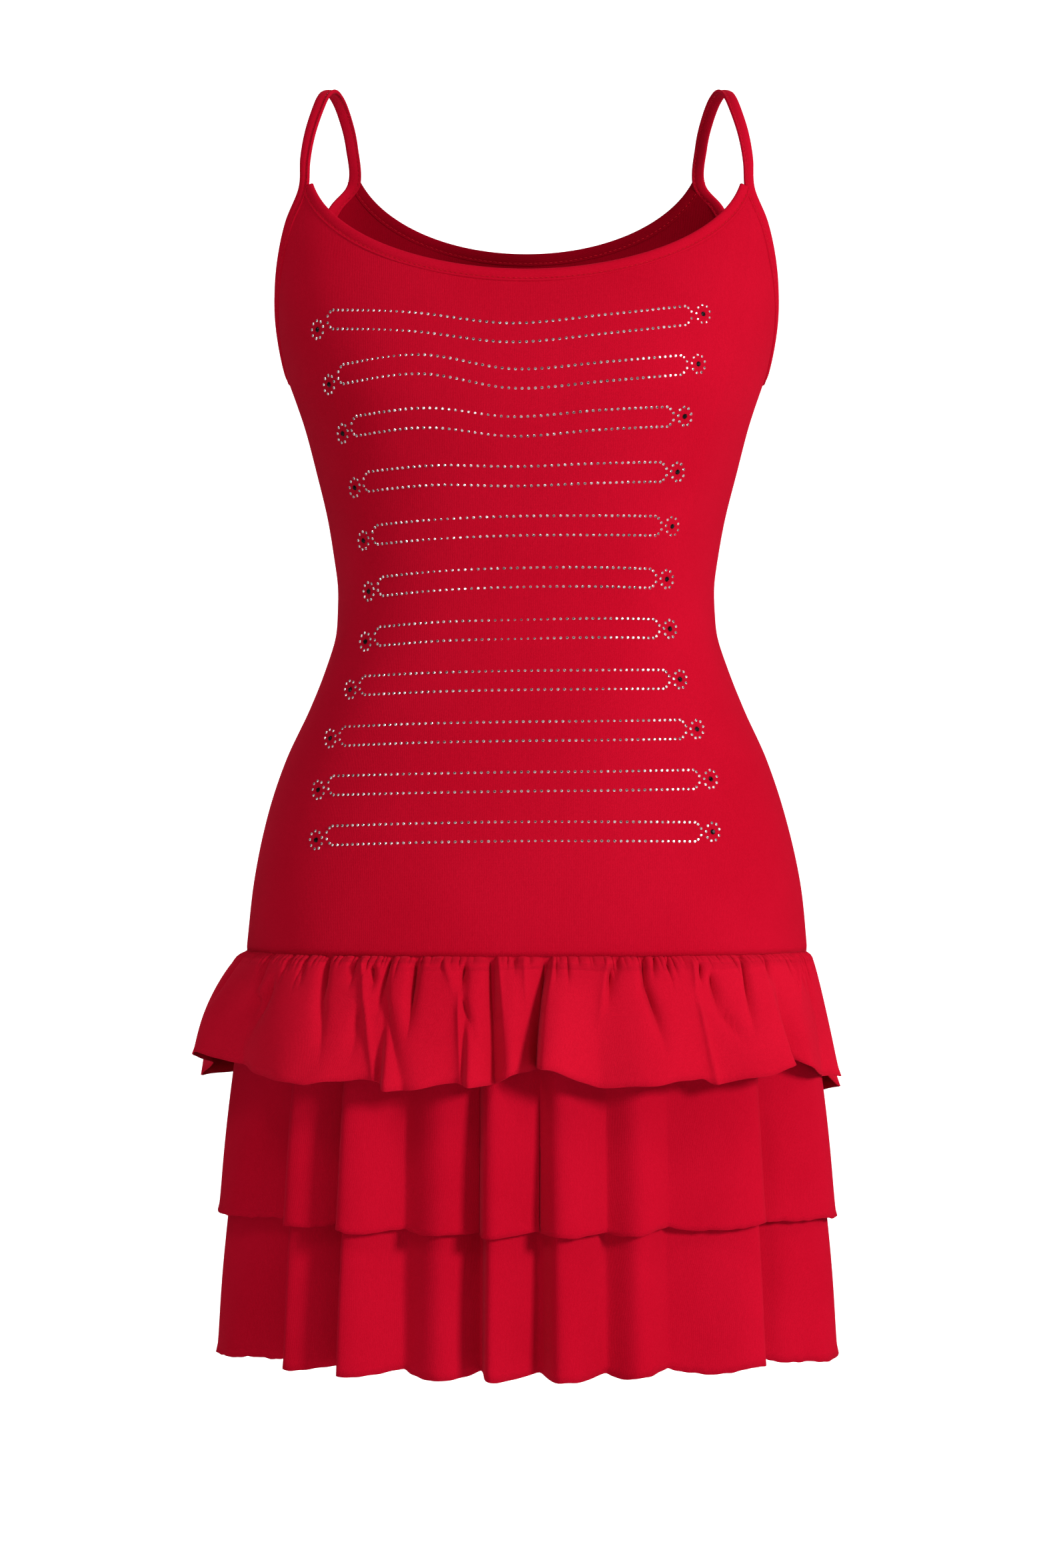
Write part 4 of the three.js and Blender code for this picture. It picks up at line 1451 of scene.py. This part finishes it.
@dataclass
class Ruffle(Layer):
    """The short gathered ruffle over the tiers."""

    puff: float = 0.62
    flare: float = 20.0  # how much wider than the seam its hem stands on each side
    columns: int = 1960
    rows: int = 24
    gathers: tuple[Gathers, ...] = (
        Gathers(250, -179.28, 360, 0.36, 6.4, 0, (1.4, 3.0), (0.24, 0.44), (0.05, 0.14), (0.15, 0.32)),
        Gathers(26, 66, 228, 0.3, 3.0, 1, (3.0, 5.5), (0.8, 1.5), (0.35, 0.9)),
    )
    right_bulge: float = 5.0  # how far it swells out at the wearer's right side
    degree: float = 3.2  # millimetres along the seam in one degree
    front_share: float = 0.4  # how much closer the columns lie in front
    hem_blur: float = 0.8  # half width, in degrees, over which the hem's table is smoothed
    tuck: float = 1.6  # how far it starts within the seam, and then stands over it
    deepest: float = -1.8  # the furthest in that creases push it
    onset: float = 0.03  # the share of the ruffle over which a crease starts at the seam
    rise: float = 0.25  # the share of its own length over which one starts elsewhere
    fade: float = 0.7  # the share of its length over which it fades
    broaden: tuple[float, float] = (0.7, 0.6)  # its width at its start, and how much it gains on the way
    roundness: tuple[float, float] = (1.25, 1.2)  # of creases and of ridges
    depth: float = 74.0
    curl_reach: float = 3.0
    slant: float = 1.06  # its depth along the slope as a share of its drop

    def pinch(self, crease: Crease, start: np.ndarray, share: np.ndarray) -> np.ndarray:
        """How far in a crease pushes the cloth.

        Args:
            crease: the crease, by x.
            start: the columns' angles.
            share: the rows' shares of the way to the hem.

        Returns:
            Depths at each row and column.
        """
        reach = np.array([crease.share0, crease.share1])
        x = np.array([crease.x0, crease.x1])
        wider = 1 + self.flare * reach**self.puff / self.form.levels[-1].wide
        ends = self.form.angle_at(x / wider, np.full(2, SEAM_Z))
        return self._dent(ends, reach, crease.depth, crease.wide / self.degree, start, share)

    def _dent(
        self,
        ends: np.ndarray,
        reach: np.ndarray,
        depth: float,
        wide: float,
        start: np.ndarray,
        share: np.ndarray,
    ) -> np.ndarray:
        """How far in a dent pushes the cloth.

        Args:
            ends: its angle at both ends.
            reach: the shares of the way to the hem at both ends.
            depth: its depth, negative for a ridge.
            wide: its half width in degrees.
            start: the columns' angles.
            share: the rows' shares of the way to the hem.

        Returns:
            Depths at each row and column.
        """
        t = np.clip((share - reach[0]) / (reach[1] - reach[0]), 0, 1)
        strength = ease(share / self.onset) if reach[0] <= 0 else ease(t / self.rise)
        if reach[1] < 1:
            strength = strength * (1 - ease((t - (1 - self.fade)) / self.fade))
        away = np.mod(start - (ends[0] + (ends[1] - ends[0]) * t) + 180, 360) - 180
        half = wide * (self.broaden[0] + self.broaden[1] * t)
        return depth * strength * np.exp(-np.abs(away / half) ** self.roundness[depth < 0])

    def gather(self, start: np.ndarray, share: np.ndarray) -> np.ndarray:
        """How far in the small gathers all round and the long ones behind push the cloth.

        Args:
            start: the columns' angles.
            share: the rows' shares of the way to the hem.

        Returns:
            Depths at each row and column.
        """
        draw = np.random.default_rng(SEED)
        total = np.zeros(np.broadcast_shapes(start.shape, share.shape))
        for kind in self.gathers:
            for k in range(kind.count):
                at = kind.first + (k + draw.uniform(-kind.jitter, kind.jitter)) * kind.span / kind.count
                far = kind.far_reach and draw.random() >= 1 - kind.few
                reach = draw.uniform(*(kind.far_reach if far else kind.reach))
                stray = draw.uniform(-kind.stray, kind.stray) if kind.stray else 0.0
                lean = kind.lean * math.sin(2 * math.radians(at)) * reach
                ends = np.array([at, at + lean + stray])
                depth, wide = draw.uniform(*kind.depth), draw.uniform(*kind.wide)
                total += self._dent(ends, np.array([0.0, reach]), depth, wide, start, share)
        return total

    def grid(self) -> np.ndarray:
        """The ruffle's points.

        Returns:
            Rows from the seam to the hem.
        """
        turn = np.arange(self.columns) / self.columns
        start = 360 * (turn - 0.5) + 360 * self.front_share / (2 * math.pi) * np.sin(2 * math.pi * turn)
        share = np.linspace(0, 1, self.rows)[:, None] ** 1.6  # closer rows at the seam
        found = WAVES.read(start)
        angles, drops = np.array(RUFFLE_HEM).T
        offsets = np.linspace(-1, 1, 5) * self.hem_blur
        drop = sum(np.interp(start + offset, angles, drops, period=360) for offset in offsets) / 5
        ragged = waves(start, (0.3, 29, 1.0), (0.25, 47, 0.0))
        z = SEAM_Z + 0.4 + (self.hem - drop + ragged - SEAM_Z - 0.4) * share
        top = self.tuck * (ease(share / 0.06) * (1 - share) - (1 - ease(share / 0.05)))
        bulge = self.right_bulge * np.sin(math.pi * share) * bell(start, -88, 30)
        wave = share**1.15
        out = top + found["foot"] * share**self.puff + found["out"] * wave + bulge
        for crease in CREASES:
            out = out - self.pinch(crease, start, share)
        out = out - self.gather(start, share)
        curl = np.exp(-(1 - share) * self.depth / self.curl_reach)
        curl = curl * (0.7 + waves(start, (0.6, 37, 0.0)))
        return self.form.point(start, z, np.maximum(out, self.deepest) + curl, found["aside"] * wave)

    def build(self) -> None:
        """Builds the ruffle."""
        piece, length = self.hang()


# Stones
# ------


@dataclass(frozen=True)
class StoneRow:
    """A row of stones across the front.

    left and right are the x of the ring at each end, and ring is the height of the left ring. loop has the
    heights of the long loop's centre line at five places, evenly from left to right, and the right ring is
    level with the last of them.
    """

    left: float
    right: float
    ring: float
    loop: tuple[float, float, float, float, float]


@dataclass
class StoneWork:
    """Rows of small clear stones, each a long loop with a ring round one dark stone at both ends."""

    form: BodyForm
    clear: bpy.types.Material
    middle: bpy.types.Material  # the top facet of a clear stone, coloured darker than its slopes as a painted dark reflection
    dark: bpy.types.Material
    size: float = 1.85
    dark_size: float = 3.3
    pitch: float = 3.95  # at the centre front
    end_pitch: float = 3.4  # at the ends of a row
    ring_wide: float = 4.7
    ring_tall: float = 5.4
    ring_stones: int = 9
    loop_height: float = 11.4
    ring_to_loop: float = 7.6
    ring_turn: float = 0.3  # of the first stone of a ring, in radians
    cap: float = 4.6  # how far a loop's round ends reach past its straight part
    cap_angles: tuple[float, ...] = (-62, -23, 23, 62)
    cap_rise: float = 0.9  # how tall the round ends are, as a share of the loop
    middle_share: float = 0.35  # of a row's half that keeps the pitch of the centre front
    lift: float = 0.5
    tilt: float = 0.035
    row_steps: int = 400
    loop_steps: int = 200
    facets: int = 8  # round a stone
    # of each ring of a stone's corners: its radius and height as shares of the stone's, and its turn
    rings: tuple[tuple[float, float, float], ...] = (
        (0.92, 0.0, 0.0),
        (1.0, 0.16, 0.0),
        (0.56, 0.62, math.pi / 8),
    )
    rows: tuple[StoneRow, ...] = (
        StoneRow(-125, 105, -152.5, (-146.5, -150.5, -157.5, -152, -144.5)),
        StoneRow(-118, 102, -185.5, (-181, -176, -185, -180.5, -174.5)),
        StoneRow(-110, 94, -214.5, (-211.5, -207.5, -213, -209, -205.5)),
        StoneRow(-103, 90, -246.5, (-244, -241, -242, -240, -238)),
        StoneRow(-98, 87, -278, (-275.5, -272.5, -271, -270.5, -270)),
        StoneRow(-95, 84, -308.5, (-306.5, -303, -301.5, -301, -301.5)),
        StoneRow(-97, 86, -339, (-336.5, -333.5, -332.5, -331.5, -331.5)),
        StoneRow(-106, 92, -368, (-366, -364, -363, -362.5, -362)),
        StoneRow(-118, 102, -397.5, (-396.5, -394.5, -393.5, -393, -392)),
        StoneRow(-125, 110, -428.5, (-426, -424.5, -423.5, -423, -422)),
        StoneRow(-126, 111, -458.5, (-456, -454, -453, -453, -453.5)),
    )

    def places(self, row: StoneRow) -> tuple[np.ndarray, np.ndarray]:
        """The places of a row's stones.

        Args:
            row: the row.

        Returns:
            The x and z of each clear stone, and of both dark ones.
        """
        x = np.linspace(row.left, row.right, self.row_steps)
        curve = table_curve([0, -1, -2, -3, -4], row.loop)
        z = curve(-4 * (x - row.left) / (row.right - row.left))
        length = travelled(self.form.point(self.form.angle_at(x, z), z))
        half = self.loop_height / 2
        low, high = self.ring_to_loop + self.cap, length[-1] - self.ring_to_loop - self.cap
        along = np.linspace(low, high, self.loop_steps)
        away = np.abs(2 * (along - low) / (high - low) - 1)
        closer = ease((away - self.middle_share) / (1 - self.middle_share))
        pitch = self.pitch + (self.end_pitch - self.pitch) * closer
        counted = np.r_[0, np.cumsum(np.diff(along) / pitch[1:])]
        count = round(counted[-1])
        line = np.interp(np.linspace(0, counted[-1], count + 1), counted, along)
        cap = np.radians(self.cap_angles)
        s = np.concatenate([line, line, high + self.cap * np.cos(cap), low - self.cap * np.cos(cap)])
        ends = [self.cap_rise * half * np.sin(cap)] * 2
        rise = np.concatenate([np.full(count + 1, half), np.full(count + 1, -half), *ends])
        clear = [np.stack([np.interp(s, length, x), np.interp(s, length, z) + rise], -1)]
        turn = turns(self.ring_stones) + self.ring_turn
        ring = np.stack([self.ring_wide * np.cos(turn), self.ring_tall * np.sin(turn)], -1)
        dark = np.array([[row.left, row.ring], [row.right, z[-1]]])
        for centre, k in zip(dark, (0, -2)):
            foreshortening = (x[k + 1] - x[k]) / (length[k + 1] - length[k])
            clear.append(centre + ring * [foreshortening, 1])
        return np.concatenate(clear), dark

    def facet_faces(self) -> list[list[int]]:
        """The faces of one stone.

        Returns:
            Its slopes, then its top and its back.
        """
        n = self.facets
        faces = []
        for k in range(n):
            m = (k + 1) % n
            faces += [[k, m, n + m, n + k], [n + k, n + m, 2 * n + k], [n + m, 2 * n + m, 2 * n + k]]
        return faces + [[2 * n + k for k in range(n)], [n - 1 - k for k in range(n)]]

    def stones(
        self,
        name: str,
        places: np.ndarray,
        size: float,
        slopes: bpy.types.Material,
        top: bpy.types.Material,
    ) -> None:
        """Builds stones as one object.

        Args:
            name: the object's name.
            places: the x and z of each stone.
            size: their diameter.
            slopes: the finish of the facets round the top one.
            top: the finish of the top facet; for the clear stones a darker one, a painted dark reflection.
        """
        draw = np.random.default_rng(SEED + len(places))
        x, z = places.T
        angle = self.form.angle_at(x, z)
        beside = self.form.point(angle + 0.3, z) - self.form.point(angle - 0.3, z)
        above = self.form.point(angle, z + 0.5) - self.form.point(angle, z - 0.5)
        out = unit(np.cross(beside, above))
        out = unit(out + draw.normal(0, self.tilt, out.shape))
        right = unit(np.cross(above, out))
        up = np.cross(out, right)
        around = np.concatenate([turns(self.facets) + turn for _, _, turn in self.rings])
        radius, height = (
            np.repeat([ring[k] for ring in self.rings], self.facets) * size / 2 for k in (0, 1)
        )
        around = around + draw.uniform(0, 2 * math.pi / self.facets, len(places))[:, None]
        base = self.form.point(angle, z) + out * self.lift
        points = base[:, None] + height[:, None] * out[:, None]
        points = points + (radius * np.cos(around))[..., None] * right[:, None]
        points = points + (radius * np.sin(around))[..., None] * up[:, None]
        faces = self.facet_faces()
        each = len(self.rings) * self.facets
        every = [[v + each * i for v in face] for i in range(len(places)) for face in faces]
        made = make_object(name, points.reshape(-1, 3), every, slopes)
        made.data.polygons.foreach_set("use_smooth", np.zeros(len(every), bool))
        # the top facet takes its own finish: for the clear stones a painted dark reflection
        face_finishes(made, top, np.tile(np.arange(len(faces)) == 3 * self.facets, len(places)))
        attach(made, "front_panel")

    def build(self) -> None:
        """Builds the clear and the dark stones."""
        found = [self.places(row) for row in self.rows]
        clear = np.concatenate([clear for clear, _ in found])
        self.stones("clear_stones", clear, self.size, self.clear, self.middle)
        dark = np.concatenate([dark for _, dark in found])
        self.stones("dark_stones", dark, self.dark_size, self.dark, self.dark)


# Studio
# ------


@dataclass(frozen=True)
class SoftLight:
    """A square soft light that points at the dress."""

    name: str
    place: tuple[float, float, float]
    size: float
    power: float
    target: tuple[float, float, float] = (0.0, 0.0, -0.42)


@dataclass
class Studio:
    """A pale floor that sweeps up behind the dress, soft lights and the camera."""

    paper: bpy.types.Material
    distance: float = 3.0
    aim: tuple[float, float] = (-0.0025, -0.4248)
    view_height: float = 0.9643
    sensor: float = 36.0
    floor_z: float = -1.35
    wall_y: float = 6.0
    bend: float = 1.5
    room: float = 0.27
    lights: tuple[SoftLight, ...] = (
        SoftLight("key", (2.15, -1.9, 0.35), 0.6, 83.0),
        SoftLight("rim", (2.6, 0.6, 0.6), 1.0, 20.0),
        SoftLight("fill", (-1.2, -2.7, -0.9), 0.8, 18.0),
        SoftLight("top", (-0.6, -1.3, 1.6), 0.6, 14.0),
        SoftLight("back", (-0.4, 2.9, 1.9), 1.0, 45.0),
    )

    def build(self) -> None:
        """Builds the studio."""
        scene = bpy.context.scene
        self._sweep()
        for light in self.lights:
            data = bpy.data.lights.new(light.name, "AREA")
            data.size, data.energy = light.size, light.power
            lamp = bpy.data.objects.new(light.name, data)
            lamp.location = light.place
            way = np.array(light.target) - np.array(light.place)
            lamp.rotation_euler = Vector(way).to_track_quat("-Z", "Y").to_euler()
            scene.collection.objects.link(lamp)
        world = bpy.data.worlds.new("soft_room")
        world.use_nodes = True
        world.node_tree.nodes["Background"].inputs["Color"].default_value = (1.0, 1.0, 1.0, 1.0)
        world.node_tree.nodes["Background"].inputs["Strength"].default_value = self.room
        scene.world = world
        data = bpy.data.cameras.new("camera")
        data.sensor_fit = "VERTICAL"
        data.sensor_height = self.sensor
        data.lens = self.sensor * self.distance / self.view_height
        camera = bpy.data.objects.new("camera", data)
        camera.location = (self.aim[0], -self.distance, self.aim[1])
        camera.rotation_euler = (math.pi / 2, 0, 0)
        scene.collection.objects.link(camera)
        scene.camera = camera
        scene.view_settings.view_transform = "Standard"

    def _sweep(self) -> None:
        """Builds the floor and the background as one curved sheet."""
        turn = np.linspace(0, math.pi / 2, 24)
        y = np.concatenate([[-5.0, 0.0], self.wall_y - self.bend + self.bend * np.sin(turn), [self.wall_y]])
        z = np.concatenate([[0.0, 0.0], self.bend - self.bend * np.cos(turn), [4.5]]) + self.floor_z
        x = np.array([-4.5, 4.5])
        points = np.stack([np.broadcast_to(x, (len(y), 2)), *(np.stack([v, v], 1) for v in (y, z))], -1)
        faces = grid_faces(len(y), 2, False, 0, True)
        make_object("studio_sweep", points.reshape(-1, 3) / MM, faces, self.paper)


def main() -> None:
    """Builds the dress and its studio, and logs each piece."""
    logging.basicConfig(level=logging.INFO, format="%(name)s: %(message)s")
    form = BodyForm()
    knit = KnitFinish().make()
    binding = KnitFinish(name="red_binding", relief=0.3, roughness=0.46).make()
    thread = ThreadFinish().make()
    # painted shade: a darker copy of the knit on every inner face stands for the shade inside the dress
    shaded_knit = KnitFinish("red_knit_painted_shade", (0.16, 0.0004, 0.004), (0.25, 0.001, 0.009)).make()
    # painted light: a lighter copy of the knit for the ruffle stands for the light that falls on its flare
    lit_ruffle_knit = KnitFinish("red_knit_painted_light", (0.35, 0.0016, 0.011), (0.52, 0.006, 0.024)).make()
    Camisole(form, knit, shaded_knit, binding, thread).build()
    Ruffle(form, lit_ruffle_knit, shaded_knit, "ruffle", -600).build()
    Tier(form, knit, shaded_knit, "middle_tier", -688, valley="middle", phase=0.7, scallop=2.5, loft=2).build()
    Tier(form, knit, shaded_knit, "lower_tier", -772, valley="lower", phase=2.1, scallop=5.5).build()
    clear = StoneFinish("clear_glass", (0.5, 0.46, 0.46), (0.85, 0.82, 0.82), 0.85, 0.3).make()
    # painted dark reflection: the clear stones' top facets are coloured darker than their slopes
    middle = StoneFinish("clear_glass_top_painted_reflection", (0.1, 0.085, 0.09), (0.42, 0.39, 0.4), 0.8, 0.4).make()
    dark = StoneFinish("dark_glass", (0.002, 0.0015, 0.002), (0.012, 0.009, 0.01), 0.9, 0.03).make()
    StoneWork(form, clear, middle, dark).build()
    Studio(PaperFinish().make()).build()


if __name__ == "__main__":
    main()
